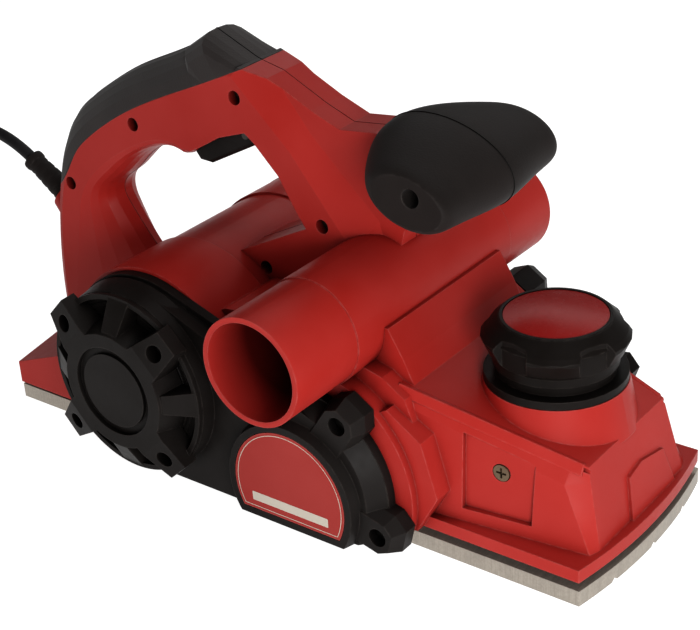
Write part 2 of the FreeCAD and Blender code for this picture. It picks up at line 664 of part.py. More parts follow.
def vent_cap():
    """The spoked cap at the near end of the motor: four flat arms with screws and four sloping ribs."""
    hub = cone_y(MOTOR_X, MOTOR_Z, 30.5, 34.5, -CAP_Y, -84.0)
    rim = ring_y(MOTOR_X, MOTOR_Z, 47.2, 44.5, -88.5, -81.0)
    arms = [cap_arm(a, [(22, 22, -CAP_Y, -84), (33, 19, -CAP_Y, -84), (50.2, 13.5, -94, -84)])
            for a in ARM_ANGLES]
    ribs = [cap_arm(a, [(26, 9, -96.5, -84), (31.5, 10, -96.5, -84), (46.4, 13, -88.2, -84)])
            for a in RIB_ANGLES]
    cap = union([hub, rim] + arms + ribs)
    cap = cap.cut(ring_y(MOTOR_X, MOTOR_Z, 60.0, 44.8, -RIM_Y, -80.0))
    cap = cap.cut(cyl_y(MOTOR_X, MOTOR_Z, 28.0, -CAP_Y + 4.5, -80.0))
    cap = cap.cut(ring_y(MOTOR_X, MOTOR_Z, 23.4, 19.6, -CAP_Y - 1, -CAP_Y + 2.6))
    cap = cap.cut(cyl_y(MOTOR_X, MOTOR_Z, 20.0, -CAP_Y - 1, -CAP_Y + 0.8))
    for a in ARM_ANGLES:
        x, z = polar(MOTOR_X, MOTOR_Z, ARM_SCREW_R, a)
        cap = cap.cut(cyl_y(x, z, 4.3, -CAP_Y - 1, -88.0))
        cap = cap.cut(cyl_y(x, z, 1.6, -CAP_Y - 1, -80.0))
    return main_solid(cap)


def cap_screws(side, depth_y):
    screws = []
    for a in ARM_ANGLES:
        x, z = polar(MOTOR_X, MOTOR_Z, ARM_SCREW_R, a)
        y0, y1 = sorted((side * 88.0, side * 90.4))
        head = cyl_y(x, z, 3.3, y0, y1)
        s0, s1 = sorted((side * depth_y, side * 88.0))
        screws.append(head.fuse(cyl_y(x, z, 1.6, s0, s1)).removeSplitter())
    return group(screws)


def label_plate():
    disc = cyl_y(LABEL_X, LABEL_Z, 32.2, -BOSS_Y, -BOSS_Y + 0.6)
    return disc.cut(box(-200, 120, -120, 0, -60, 10.0))


def bearing_cover():
    """The black cover on the far side, over the drum's other bearing."""
    base = cyl_y(DRUM_X, DRUM_Z, 47.5, FLANGE_Y, COVER_Y - 2)
    slope = cone_y(DRUM_X, DRUM_Z, 47.0, 40.5, COVER_Y - 2, PANEL_Y)
    cover = union([base, slope] + [mirrored(lug(x, z, FAR_LUG)) for x, z in SIDE_LUGS])
    cover = cover.cut(box(-200, 120, 0, 120, -60, 6.0))
    cover = cover.cut(box(-200, 120, 0, FLANGE_Y, -60, 200))
    cover = cover.cut(cyl_y(DRUM_X, DRUM_Z, 20.0, FLANGE_Y - 1, 76.0))
    for x, z in SIDE_LUGS:
        cover = cover.cut(cyl_y(x, z, 4.6, 72.0 + FAR_LUG, 100))
        cover = cover.cut(cyl_y(x, z, 2.1, 0, 100))
    cover = cover.cut(cyl_y(TUBE_X, TUBE_Z, TUBE_R + 0.3, 0, 120))
    return main_solid(cover)


FAN_COVER_Y = 90.0
FAN_SCREWS = [polar(MOTOR_X, MOTOR_Z, 40.5, angle) for angle in (45.0, 135.0, 225.0, 315.0)]


def fan_cover():
    """The slotted cap over the far end of the motor."""
    profile = [(0, FAN_COVER_Y - 3), (44.0, FAN_COVER_Y - 3), (49.3, MOTOR_HALF), (52.2, MOTOR_HALF),
               (47.5, FAN_COVER_Y - 1.5), (46.0, FAN_COVER_Y), (0, FAN_COVER_Y)]
    face = closed_face([Vector(r, y, 0) for r, y in profile])
    dish = face.revolve(Vector(0, 0, 0), Vector(0, 1, 0), 360)
    dish.translate(Vector(MOTOR_X, 0, MOTOR_Z))
    posts = [cyl_y(x, z, 4.5, MOTOR_HALF, FAN_COVER_Y - 2) for x, z in FAN_SCREWS]
    dish = union([dish] + posts)
    for x, z in FAN_SCREWS:
        dish = dish.cut(cyl_y(x, z, 3.0, 84.0, 100))
        dish = dish.cut(cyl_y(x, z, 1.6, 60, 100))
    # slots for the cooling air, one above another
    for row in range(-4, 5):
        half = 27.0 if abs(row) < 4 else 17.0
        z = MOTOR_Z + 6.0 * row
        dish = dish.cut(box(MOTOR_X - half, MOTOR_X + half, 80, 100, z - 1.5, z + 1.5))
    return dish


def fan_cover_screws():
    screws = []
    for x, z in FAN_SCREWS:
        head = cyl_y(x, z, 2.8, 84.0, 86.5)
        screws.append(head.fuse(cyl_y(x, z, 1.6, 66.5, 84.0)).removeSplitter())
    return group(screws)


# ---------------------------------------------------------------- cutter drum and drive
BLADE_ANGLES = (110.0, 290.0)


def drum_cutter_slot(angle):
    """The slot for one knife and its clamp, in the drum's own section."""
    a = math.radians(angle)
    out = Vector(math.cos(a), 0, math.sin(a))
    side = Vector(-math.sin(a), 0, math.cos(a))
    centre = Vector(DRUM_X, 0, DRUM_Z)
    corners = [centre + out * 13 + side * -5, centre + out * 30 + side * -7,
               centre + out * 30 + side * 3.2, centre + out * 13 + side * 3.2]
    y0 = -DRUM_HALF - 1
    face = closed_face([Vector(p.x, y0, p.z) for p in corners])
    return face.extrude(Vector(0, 2 * DRUM_HALF + 2, 0))


def drum_piece(angle, r0, r1, s0_in, s0_out, s1, half):
    """A bar along the drum, from r0 to r1, with sides measured square to the radius."""
    a = math.radians(angle)
    out = Vector(math.cos(a), 0, math.sin(a))
    side = Vector(-math.sin(a), 0, math.cos(a))
    centre = Vector(DRUM_X, 0, DRUM_Z)
    corners = [centre + out * r0 + side * s0_in, centre + out * r1 + side * s0_out,
               centre + out * r1 + side * s1, centre + out * r0 + side * s1]
    face = closed_face([Vector(p.x, -half, p.z) for p in corners])
    return face.extrude(Vector(0, 2 * half, 0))


def cutter_drum():
    drum = cyl_y(DRUM_X, DRUM_Z, DRUM_R, -DRUM_HALF, DRUM_HALF)
    for angle in BLADE_ANGLES:
        drum = drum.cut(drum_cutter_slot(angle))
    drum = drum.cut(cyl_y(DRUM_X, DRUM_Z, SHAFT_R + 1.0, -DRUM_HALF - 1, DRUM_HALF + 1))
    return drum


def drum_shaft():
    middle = cyl_y(DRUM_X, DRUM_Z, SHAFT_R + 1.0, -DRUM_HALF - 1.0, DRUM_HALF + 1.0)
    ends = cyl_y(DRUM_X, DRUM_Z, SHAFT_R - RUN, -81.5, 66.0)
    return union([middle, ends])


def blades():
    knives = []
    for angle in BLADE_ANGLES:
        bar = drum_piece(angle, 14.0, 29.0, 0.6, 0.6, 3.2, DRUM_HALF - 0.5)
        knives.append(bar.common(cyl_y(DRUM_X, DRUM_Z, CUT_R - 0.1, -60, 60)))
    return group(knives)


def clamp_bar(angle):
    bar = drum_piece(angle, 13.2, 29.0, -4.9, -6.8, 0.6, DRUM_HALF - 1.0)
    return bar.common(cyl_y(DRUM_X, DRUM_Z, DRUM_R - 0.6, -60, 60))


def clamp_places(angle):
    a = math.radians(angle)
    x = DRUM_X + 22.0 * math.cos(a) + 2.8 * math.sin(a)
    z = DRUM_Z + 22.0 * math.sin(a) - 2.8 * math.cos(a)
    side = Vector(math.cos(a), 0, math.sin(a))
    return [(Vector(x, y, z), side) for y in (-36.0, 0.0, 36.0)]


def blade_clamps():
    bars = []
    for angle in BLADE_ANGLES:
        bar = clamp_bar(angle)
        for start, direction in clamp_places(angle):
            bar = bar.cut(Part.makeCylinder(2.0, 12.0, start - direction * 6.0, direction))
        bars.append(bar)
    return group(bars)


def clamp_screws():
    screws = []
    for angle in BLADE_ANGLES:
        for start, direction in clamp_places(angle):
            screw = Part.makeCylinder(2.0, 7.0, start - direction * 6.0, direction)
            screws.append(screw)
    return group(screws)


def bearing_pair(x, z, inner, outer, y_near, y_far):
    """A sealed bearing at each end: a ring with the two grooves that mark its seals."""
    rings = []
    for y0 in (y_near, y_far):
        ring = ring_y(x, z, outer, inner, y0, y0 + BEARING_W)
        mid = (inner + outer) / 2
        for face0 in (y0 - 1, y0 + BEARING_W - 0.5):
            ring = ring.cut(ring_y(x, z, mid + 2.4, mid - 2.0, face0, face0 + 1.5))
        rings.append(ring)
    return group(rings)


def toothed_pulley(x, z, radius, teeth, bore, phase=0.0):
    body = ring_y(x, z, radius, bore, PULLEY_Y0, PULLEY_Y1)
    notches = []
    for tooth in range(teeth):
        px, pz = polar(x, z, radius, phase + 360.0 * tooth / teeth)
        notches.append(cyl_y(px, pz, 1.0, PULLEY_Y0 - 1, PULLEY_Y1 + 1))
    return body.cut(Part.makeCompound(notches))


def drum_pulley():
    return toothed_pulley(DRUM_X, DRUM_Z, DRUM_PULLEY_R, 44, SHAFT_R - RUN)


def motor_pulley():
    return toothed_pulley(MOTOR_X, MOTOR_Z, MOTOR_PULLEY_R, 26, ARM_SHAFT_R - RUN)


def drive_belt():
    outer = hull_of_circles(MOTOR_X, MOTOR_Z, MOTOR_PULLEY_R + BELT_GAP + BELT_T,
                            DRUM_X, DRUM_Z, DRUM_PULLEY_R + BELT_GAP + BELT_T)
    inner = hull_of_circles(MOTOR_X, MOTOR_Z, MOTOR_PULLEY_R + BELT_GAP,
                            DRUM_X, DRUM_Z, DRUM_PULLEY_R + BELT_GAP)
    return slab_y(outer, PULLEY_Y0 + 0.5, PULLEY_Y1 - 0.5).cut(slab_y(inner, PULLEY_Y0, PULLEY_Y1))


def pulley_nut(x, z, bore, across, y0, y1):
    points = [polar(x, z, across, 60 * corner) for corner in range(6)]
    return prism_y(points, y0, y1).cut(cyl_y(x, z, bore, y0 - 1, y1 + 1))


# ---------------------------------------------------------------- motor
CORE_R, CORE_Y0, CORE_Y1 = 22.0, -30.0, 14.0
BRUSH_Y = 29.0
COMM_R = 12.0


def armature_shaft():
    middle = cyl_y(MOTOR_X, MOTOR_Z, 5.0, -57.0, 57.0)
    ends = cyl_y(MOTOR_X, MOTOR_Z, ARM_SHAFT_R - RUN, -80.0, 65.5)
    return union([middle, ends])


def armature_core():
    core = ring_y(MOTOR_X, MOTOR_Z, CORE_R, 5.0, CORE_Y0, CORE_Y1)
    slots = []
    for slot in range(12):
        x, z = polar(MOTOR_X, MOTOR_Z, CORE_R - 1.5, 30.0 * slot)
        slots.append(cyl_y(x, z, 1.6, CORE_Y0 - 1, CORE_Y1 + 1))
    core = core.cut(Part.makeCompound(slots))
    heads = [cone_y(MOTOR_X, MOTOR_Z, 12.0, 18.0, CORE_Y0 - 6.0, CORE_Y0),
             cone_y(MOTOR_X, MOTOR_Z, 18.0, 12.0, CORE_Y1, CORE_Y1 + 6.0)]
    core = union([core] + heads)
    return core.cut(cyl_y(MOTOR_X, MOTOR_Z, 5.0, -60, 60))


def commutator():
    body = ring_y(MOTOR_X, MOTOR_Z, COMM_R, 5.0, BRUSH_Y - 7.0, BRUSH_Y + 7.0)
    slots = []
    for bar in range(24):
        x, z = polar(MOTOR_X, MOTOR_Z, COMM_R, 15.0 * bar)
        slots.append(cyl_y(x, z, 0.4, BRUSH_Y - 8.0, BRUSH_Y + 8.0))
    return body.cut(Part.makeCompound(slots))


def cooling_fan():
    """Radial fan: a back plate, a hub and twelve blades."""
    plate = ring_y(MOTOR_X, MOTOR_Z, 40.0, 5.0, -42.0, -40.0)
    hub = ring_y(MOTOR_X, MOTOR_Z, 11.0, 5.0, -54.0, -40.0)
    blades_set = []
    for blade in range(12):
        angle = 30.0 * blade
        bar = radial_bar(angle, 10.0, 39.0, 1.6, 1.6, -53.0, -41.0)
        blades_set.append(bar)
    return union([plate, hub] + blades_set)


def stator():
    """Laminated field with its two windings, pressed into the barrel."""
    ring = ring_y(MOTOR_X, MOTOR_Z, MOTOR_BORE, 37.0, -26.0, 12.0)
    poles = []
    for angle in (90.0, 270.0):
        poles.append(radial_bar(angle, 23.5, 38.0, 30, 16, -26.0, 12.0))
    body = union([ring] + poles)
    return body.cut(cyl_y(MOTOR_X, MOTOR_Z, 22.8, -40, 40))


def field_windings():
    coils = []
    for angle in (90.0, 270.0):
        outer = radial_bar(angle, 28.0, 35.5, 34, 30, -32.0, 18.0)
        hole = radial_bar(angle, 10.0, 45.0, 30.5, 16.2, -26.1, 12.1)
        coil = outer.cut(hole)
        coil = coil.cut(cyl_y(MOTOR_X, MOTOR_Z, 27.0, -60, 60)).cut(stator())
        coils.append(coil)
    return coils


def brush_holders():
    holders = []
    for side in (-1, 1):
        x0, x1 = sorted((MOTOR_X + side * 16.0, MOTOR_X + side * 43.0))
        holder = box(x0, x1, BRUSH_Y - 6, BRUSH_Y + 6, MOTOR_Z - 5, MOTOR_Z + 5)
        hole0, hole1 = sorted((MOTOR_X + side * 15.0, MOTOR_X + side * 40.0))
        holder = holder.cut(box(hole0, hole1, BRUSH_Y - 4, BRUSH_Y + 4, MOTOR_Z - 3, MOTOR_Z + 3))
        holders.append(holder)
    return group(holders)


def carbon_brushes():
    brushes = []
    for side in (-1, 1):
        x0, x1 = sorted((MOTOR_X + side * (COMM_R + 0.3), MOTOR_X + side * 30.0))
        brushes.append(box(x0, x1, BRUSH_Y - 4, BRUSH_Y + 4, MOTOR_Z - 3, MOTOR_Z + 3))
    return group(brushes)


# ---------------------------------------------------------------- switch, trigger, button
TRIGGER_PIVOT = (-62.5, 164.0)


def trigger():
    pivot_x, pivot_z = TRIGGER_PIVOT
    outline = [(-100.5, 155.0), (-100.3, 147.0), (-97.5, 143.2), (-90.0, 142.8), (-60.0, 158.0),
               (-58.0, 166.0), (-66.0, 168.5), (-98.0, 158.5)]
    body = prism_y(outline, -8.0, 8.0)
    lower_rim = [edge for edge in body.Edges if edge.BoundBox.YLength < 0.1 and edge.BoundBox.ZMax < 158.5]
    body = body.makeFillet(2.5, lower_rim)
    return body.cut(cyl_y(pivot_x, pivot_z, 2.0 + RUN, -9, 9))


def trigger_pin():
    pivot_x, pivot_z = TRIGGER_PIVOT
    return cyl_y(pivot_x, pivot_z, 2.0, -11.5, 11.5)


def switch_body():
    outline = [(-122, 160), (-108, 160), (-106, 168), (-84, 172.5), (-80, 182), (-104, 182), (-122, 172)]
    return prism_y(outline, -10.5, 7.5)


BUTTON_X, BUTTON_Z = -97.0, 177.0
BUTTON_TRAVEL = 4.0


def lock_button():
    """The lock-off button on the far side of the handle, over the trigger."""
    return cyl_y(BUTTON_X, BUTTON_Z, 5.5, 12.5, 20.5)


def capacitor():
    return cyl_y(-165.0, 141.0, 5.0, -11, 11)


def cord_clamp():
    return box(-193.8, -186.6, -12.5, 12.5, 76, 80)


# ---------------------------------------------------------------- depth knob
LOBES = 5
LOBE_ANGLE = 9.8


def knob_lobes(z0, z1):
    """The knob's grips: wide lobes, slightly rounded, with narrower scoops between them."""
    points = []
    for lobe in range(LOBES):
        middle = 360.0 * lobe / LOBES + LOBE_ANGLE
        for offset, r in ((-20, 33.8), (-7, 34.2), (7, 34.2), (20, 33.8), (23, 30.2), (36, 29.4), (49, 30.2)):
            points.append(polar(KNOB_X, 0, r, middle + offset))
    return prism_z(points, z0, z1)


def depth_knob():
    skirt = cyl_z(KNOB_X, 0, 28.8, KNOB_Z, 96.0)
    crown = Part.makeCone(31.0, 25.4, 7.6, Vector(KNOB_X, 0, 98.9), Vector(0, 0, 1))
    profile = [(0, KNOB_Z), (28.8, KNOB_Z), (28.8, 88.0), (31.0, 90.5), (34.2, 97.8), (32.2, 100.4),
               (25.4, 106.5), (0, 106.5)]
    face = closed_face([Vector(r, 0, z) for r, z in profile])
    envelope = face.revolve(Vector(0, 0, 0), Vector(0, 0, 1), 360)
    envelope.translate(Vector(KNOB_X, 0, 0))
    knob = union([skirt, knob_lobes(88.5, 106.0), crown]).common(envelope)
    knob = knob.cut(cyl_z(KNOB_X, 0, 24.0, 103.0, 110.0))
    knob = knob.cut(cyl_z(KNOB_X, 0, SPINDLE_R, 70.0, 98.0))
    return main_solid(knob)


def knob_cap():
    """The red domed disc in the top of the knob."""
    dome = Part.makeSphere(120.0, Vector(KNOB_X, 0, 108.5 - 120.0))
    disc = cyl_z(KNOB_X, 0, 23.8, 103.0, 112.0)
    return disc.common(dome)


def scale_ring():
    ring = cyl_z(KNOB_X, 0, 33.0, RING_Z, RING_Z + 4.0)
    ring = union([ring, cyl_z(KNOB_X, 0, 27.5, RING_Z + 4.0, KNOB_Z - 0.4)])
    return ring.cut(cyl_z(KNOB_X, 0, KNOB_BORE, 60, 90))


def depth_spindle():
    stem = cyl_z(KNOB_X, 0, SPINDLE_R, SHOE_BORE_Z + DEPTH_MAX + 1.5, 98.0)
    for turn in range(12):
        z = 9.0 + 1.5 * turn
        stem = stem.cut(ring_z(KNOB_X, 0, SPINDLE_R + 1, SPINDLE_R - 0.5, z, z + 0.6))
    collar = cyl_z(KNOB_X, 0, 8.5, 38.0, 39.7)
    return union([stem, collar])


def shoe_spring():
    """The spring between the front sole's boss and the shell, round the spindle's collar."""
    turns, radius, wire = 3.5, 10.5, 0.9
    z0, z1 = SHOE_BOSS_TOP + 1.0, SHELL_BOSS_Z - 1.0
    helix = Part.makeHelix((z1 - z0) / turns, z1 - z0, radius)
    profile = Part.Wire(Part.Circle(Vector(radius, 0, 0), Vector(0, 1, 0), wire).toShape())
    coil = Part.Wire(helix).makePipeShell([profile], True, True)
    coil.translate(Vector(KNOB_X, 0, z0))
    return coil


# ---------------------------------------------------------------- guide screws
def guide_knob():
    """Black hand screw in the far guide hole."""
    corners = [polar(GUIDE_X, GUIDE_Z, 8.6, 60 * corner + 10) for corner in range(6)]
    head = prism_y(corners, 59.0, 68.0)
    collar = cyl_y(GUIDE_X, GUIDE_Z, 6.5, 51.0, 59.0)
    shank = cyl_y(GUIDE_X, GUIDE_Z, 3.0, 38.0, 51.0)
    return union([head, collar, shank])


def guide_screw():
    """Steel cross-head screw, sunk in the near guide hole."""
    head = cyl_y(GUIDE_X, GUIDE_Z, 4.1, -45.6, -43.0)
    cross = box(GUIDE_X - 2.6, GUIDE_X + 2.6, -46, -44.2, GUIDE_Z - 0.5, GUIDE_Z + 0.5)
    cross = cross.fuse(box(GUIDE_X - 0.5, GUIDE_X + 0.5, -46, -44.2, GUIDE_Z - 2.6, GUIDE_Z + 2.6))
    shank = cyl_y(GUIDE_X, GUIDE_Z, 3.05, -43.0, -36.0)
    return head.cut(cross).fuse(shank).removeSplitter()


# ---------------------------------------------------------------- cord
CORD_ROUTE = [(-233.0, 0.0, 115.0), (-245.6, 0.0, 123.2), (-273.0, 0.0, 128.0), (-304.0, 2.0, 113.0),
              (-328.0, 6.0, 80.0), (-348.0, 11.0, 40.0), (-376.0, 17.0, 3.25), (-414.0, 19.0, 3.25)]
TAIL_ROUTE = [(-414.0, -52.5, 17.5), (-396.0, -56.5, 22.8), (-374.0, -63.0, 20.5), (-350.0, -66.0, 13.0),
              (-328.0, -65.5, 13.0)]
PLUG_X, PLUG_Y, PLUG_Z = -328.0, -65.5, 13.0


def rounded_route(points, name):
    """Straight runs joined by tangent arcs, and the radius of each arc."""
    corners = [Vector(*p) for p in points]
    edges = []
    start = corners[0]
    for before, corner, after in zip(corners, corners[1:], corners[2:]):
        back = (before - corner)
        ahead = (after - corner)
        shorter = min(back.Length, ahead.Length)
        back.normalize()
        ahead.normalize()
        turn = math.pi - back.getAngle(ahead)
        reach = 0.45 * shorter
        radius = reach / math.tan(turn / 2)
        print(f"{name}: turn {math.degrees(turn):.0f} degrees, radius {radius:.1f} mm")
        first, last = corner + back * reach, corner + ahead * reach
        bisector = back + ahead
        bisector.normalize()
        middle = corner + bisector * (radius / math.cos(turn / 2) - radius)
        edges.append(Part.LineSegment(start, first).toShape())
        edges.append(Part.Arc(first, middle, last).toShape())
        start = last
    edges.append(Part.LineSegment(start, corners[-1]).toShape())
    return Part.Wire(edges)


def cord_along(points, name):
    path = rounded_route(points, name)
    direction = Vector(*points[1]) - Vector(*points[0])
    ring = Part.Wire(Part.Circle(Vector(*points[0]), direction, CORD_R).toShape())
    tube = path.makePipeShell([ring], True, True)
    expected = math.pi * CORD_R ** 2 * path.Length
    print(f"{name}: length {path.Length:.1f} mm, volume {tube.Volume / expected:.4f} of section x length")
    return tube


def cord_guard():
    """Tapered rubber sleeve with a flared tip, round the cord where it leaves the handle."""
    length = 36.0
    base = GUARD_TIP - GUARD_AXIS * length
    axis = Vector(GUARD_AXIS)
    axis.normalize()
    length = (GUARD_TIP - base).Length
    profile = [(0, 0), (7.0, 0), (7.0, 3.0), (5.2, 5.0), (5.2, length - 9), (6.0, length - 3),
               (5.6, length), (0, length)]
    face = Part.Face(Part.makePolygon([Vector(r, 0, t) for r, t in profile] + [Vector(0, 0, 0)]))
    sleeve = face.revolve(Vector(0, 0, 0), Vector(0, 0, 1), 360)
    sleeve.Placement = FreeCAD.Placement(base, FreeCAD.Rotation(Vector(0, 0, 1), axis))
    return sleeve


def cord_coil():
    return ring_z(COIL_X, COIL_Y, COIL_OUT, COIL_IN, 0, COIL_H)


def plug_body():
    """Flat two-pin mains plug, lying on its broad side."""
    outline = [(PLUG_X, -4.0), (PLUG_X + 18, -10.0), (PLUG_X + 24, -17.5), (PLUG_X + 44, -17.5),
               (PLUG_X + 44, 17.5), (PLUG_X + 24, 17.5), (PLUG_X + 18, 10.0), (PLUG_X, 4.0)]
    body = prism_z([(x, PLUG_Y + y) for x, y in outline], 0.0, 26.0)
    neck = prism_y([(PLUG_X, PLUG_Z - 4.0), (PLUG_X + 18, PLUG_Z - 8.0), (PLUG_X + 26, PLUG_Z - 13.0),
                    (PLUG_X + 60, PLUG_Z - 13.0), (PLUG_X + 60, PLUG_Z + 13.0), (PLUG_X + 26, PLUG_Z + 13.0),
                    (PLUG_X + 18, PLUG_Z + 8.0), (PLUG_X, PLUG_Z + 4.0)], PLUG_Y - 40, PLUG_Y + 40)
    return body.common(neck)


def plug_pins():
    pins = []
    for side in (-9.5, 9.5):
        pin = Part.makeCylinder(2.4, 19.0, Vector(PLUG_X + 44, PLUG_Y + side, PLUG_Z), Vector(1, 0, 0))
        pins.append(pin)
    return group(pins)


# ---------------------------------------------------------------- assembly
def build():
    housing = main_housing()
    outside = housing_outer()
    shell = handle_shell(outside)
    handle = main_solid(shell)
    grip = main_solid(handle.common(grip_region()))
    red = main_solid(handle.cut(grip_region()))
    barrel = tee_grip(red)
    near_half = box(-300, 120, -60, 0, -10, 260)
    far_half = box(-300, 120, 0, 60, -10, 260)

    button_hole = cyl_y(BUTTON_X, BUTTON_Z, 5.6, 12.0, 30.0)
    pin = trigger_pin()
    screws = handle_screws()

    parts["rear_sole"] = rear_sole()
    parts["sole_screws"] = sole_screws()
    parts["front_shoe"] = front_shoe()
    parts["main_housing"] = housing
    bolts = tee_bolts()
    parts["handle_left"] = main_solid(red.common(near_half).cut(screws).cut(pin).cut(bolts))
    parts["handle_right"] = main_solid(red.common(far_half).cut(screws).cut(pin).cut(button_hole).cut(bolts))
    parts["soft_grip"] = grip.cut(button_hole)
    parts["handle_screws"] = screws
    parts["tee_grip_left"] = main_solid(barrel.common(near_half))
    parts["tee_grip_right"] = main_solid(barrel.common(far_half))
    parts["tee_grip_bolts"] = bolts
    parts["chip_tube"] = chip_tube()
    parts["belt_cover"] = belt_cover()
    parts["belt_cover_screws"] = cover_screws(-1, 72.0)
    parts["vent_cap"] = vent_cap()
    parts["vent_cap_screws"] = cap_screws(-1, 81.5)
    parts["label_plate"] = label_plate()
    parts["bearing_cover"] = bearing_cover()
    parts["bearing_cover_screws"] = cover_screws(1, 72.0 + FAR_LUG)
    parts["fan_cover"] = fan_cover()
    parts["fan_cover_screws"] = fan_cover_screws()

    parts["cutter_drum"] = cutter_drum()
    parts["drum_shaft"] = drum_shaft()
    parts["blades"] = blades()
    parts["blade_clamps"] = blade_clamps()
    parts["clamp_screws"] = clamp_screws()
    parts["drum_bearings"] = bearing_pair(DRUM_X, DRUM_Z, SHAFT_R, BEARING_R, -FLANGE_Y, FLANGE_Y - BEARING_W)
    parts["drum_pulley"] = drum_pulley()
    parts["drum_pulley_nut"] = pulley_nut(DRUM_X, DRUM_Z, SHAFT_R - RUN, 10.5, -80.5, PULLEY_Y0)
    parts["motor_pulley"] = motor_pulley()
    parts["drive_belt"] = drive_belt()

    parts["armature_shaft"] = armature_shaft()
    parts["armature_core"] = armature_core()
    parts["commutator"] = commutator()
    parts["cooling_fan"] = cooling_fan()
    parts["motor_bearings"] = bearing_pair(MOTOR_X, MOTOR_Z, ARM_SHAFT_R, ARM_BEARING_R,
                                           -MOTOR_HALF + 0.5, MOTOR_HALF - BEARING_W - 0.5)
    parts["stator_core"] = stator()
    parts["field_windings"] = group(field_windings())
    parts["brush_holders"] = brush_holders()
    parts["carbon_brushes"] = carbon_brushes()

    parts["switch_body"] = switch_body()
    parts["trigger"] = trigger()
    parts["trigger_pin"] = pin
    parts["lock_button"] = lock_button()
    parts["capacitor"] = capacitor()
    parts["cord_clamp"] = cord_clamp()

    parts["depth_knob"] = depth_knob()
    parts["knob_cap"] = knob_cap()
    parts["scale_ring"] = scale_ring()
    parts["depth_spindle"] = depth_spindle()
    parts["shoe_spring"] = shoe_spring()

    parts["guide_knob"] = guide_knob()
    parts["guide_screw"] = guide_screw()

    parts["cord_guard"] = cord_guard()
    parts["cord_tube"] = cord_along(CORD_ROUTE, "cord")
    parts["cord_coil"] = cord_coil()
    parts["cord_tail"] = cord_along(TAIL_ROUTE, "cord tail")
    parts["plug_body"] = plug_body()
    parts["plug_pins"] = plug_pins()


def main():
    build()
    os.makedirs("parts", exist_ok=True)
    for name, shape in parts.items():
        shape.exportStep(os.path.join("parts", name + ".step"))
    print(f"{len(parts)} parts written")


main()
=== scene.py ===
"""Looks of the electric hand planer: camera, mains cord, materials, fine detail, light and floor."""
import json
import math

import bmesh
import bpy
from mathutils import Matrix, Vector
from mathutils.bvhtree import BVHTree


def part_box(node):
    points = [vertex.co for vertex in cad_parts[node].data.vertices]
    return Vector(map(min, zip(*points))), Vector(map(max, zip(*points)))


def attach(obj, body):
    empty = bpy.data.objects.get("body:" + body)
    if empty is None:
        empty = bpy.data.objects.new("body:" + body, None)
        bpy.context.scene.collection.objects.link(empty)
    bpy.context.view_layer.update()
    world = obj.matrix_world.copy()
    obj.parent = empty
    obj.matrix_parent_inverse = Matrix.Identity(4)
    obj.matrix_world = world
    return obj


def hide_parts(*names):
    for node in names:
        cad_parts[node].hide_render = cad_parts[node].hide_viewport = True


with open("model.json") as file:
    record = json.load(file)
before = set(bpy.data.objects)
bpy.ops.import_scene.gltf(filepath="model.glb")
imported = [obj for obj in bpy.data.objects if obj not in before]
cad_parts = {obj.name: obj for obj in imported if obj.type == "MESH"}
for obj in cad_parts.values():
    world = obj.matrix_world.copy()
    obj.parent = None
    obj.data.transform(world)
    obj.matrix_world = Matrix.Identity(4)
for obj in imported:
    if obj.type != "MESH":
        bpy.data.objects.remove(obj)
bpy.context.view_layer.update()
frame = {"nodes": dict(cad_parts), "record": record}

BODY = "planer_body"
MM = 0.001

# ---------------------------------------------------------------- camera
IMAGE_WIDTH = 700
FOCAL_PX = 1619.7         # focal length, in pixels of an image of that width
SENSOR_MM = 36.0
CAM_AZIMUTH, CAM_ELEVATION, CAM_ROLL = 38.595, 27.463, -3.806
CAM_PLACE = Vector((0.42894, -0.55548, 0.44371))


def make_camera():
    """A camera at the viewing angle, built from azimuth, elevation and roll."""
    azimuth, elevation, roll = (math.radians(a) for a in (CAM_AZIMUTH, CAM_ELEVATION, CAM_ROLL))
    back = Vector((math.sin(azimuth) * math.cos(elevation),
                   -math.cos(azimuth) * math.cos(elevation),
                   math.sin(elevation)))
    level_right = Vector((math.cos(azimuth), math.sin(azimuth), 0.0))
    level_up = back.cross(level_right)
    right = math.cos(roll) * level_right + math.sin(roll) * level_up
    up = -math.sin(roll) * level_right + math.cos(roll) * level_up
    camera = bpy.data.cameras.new("camera")
    camera.sensor_width = SENSOR_MM
    camera.lens = FOCAL_PX * SENSOR_MM / IMAGE_WIDTH
    camera.clip_end = 50.0
    holder = bpy.data.objects.new("camera", camera)
    axes = Matrix((right, up, back)).transposed().to_4x4()
    holder.matrix_world = Matrix.Translation(CAM_PLACE) @ axes
    bpy.context.scene.collection.objects.link(holder)
    bpy.context.scene.camera = holder


# ---------------------------------------------------------------- meshes of added pieces
def mesh_piece(name, points, faces, slot, smooth=False):
    """A new piece of the body, from points in millimetres."""
    mesh = bpy.data.meshes.new(name)
    mesh.from_pydata([tuple(v * MM for v in point) for point in points], [], faces)
    shape = bmesh.new()
    shape.from_mesh(mesh)
    bmesh.ops.remove_doubles(shape, verts=shape.verts, dist=1e-7)
    bmesh.ops.recalc_face_normals(shape, faces=shape.faces)
    shape.to_mesh(mesh)
    shape.free()
    for polygon in mesh.polygons:
        polygon.use_smooth = smooth
    piece = bpy.data.objects.new(name, mesh)
    bpy.context.scene.collection.objects.link(piece)
    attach(piece, BODY)
    return piece


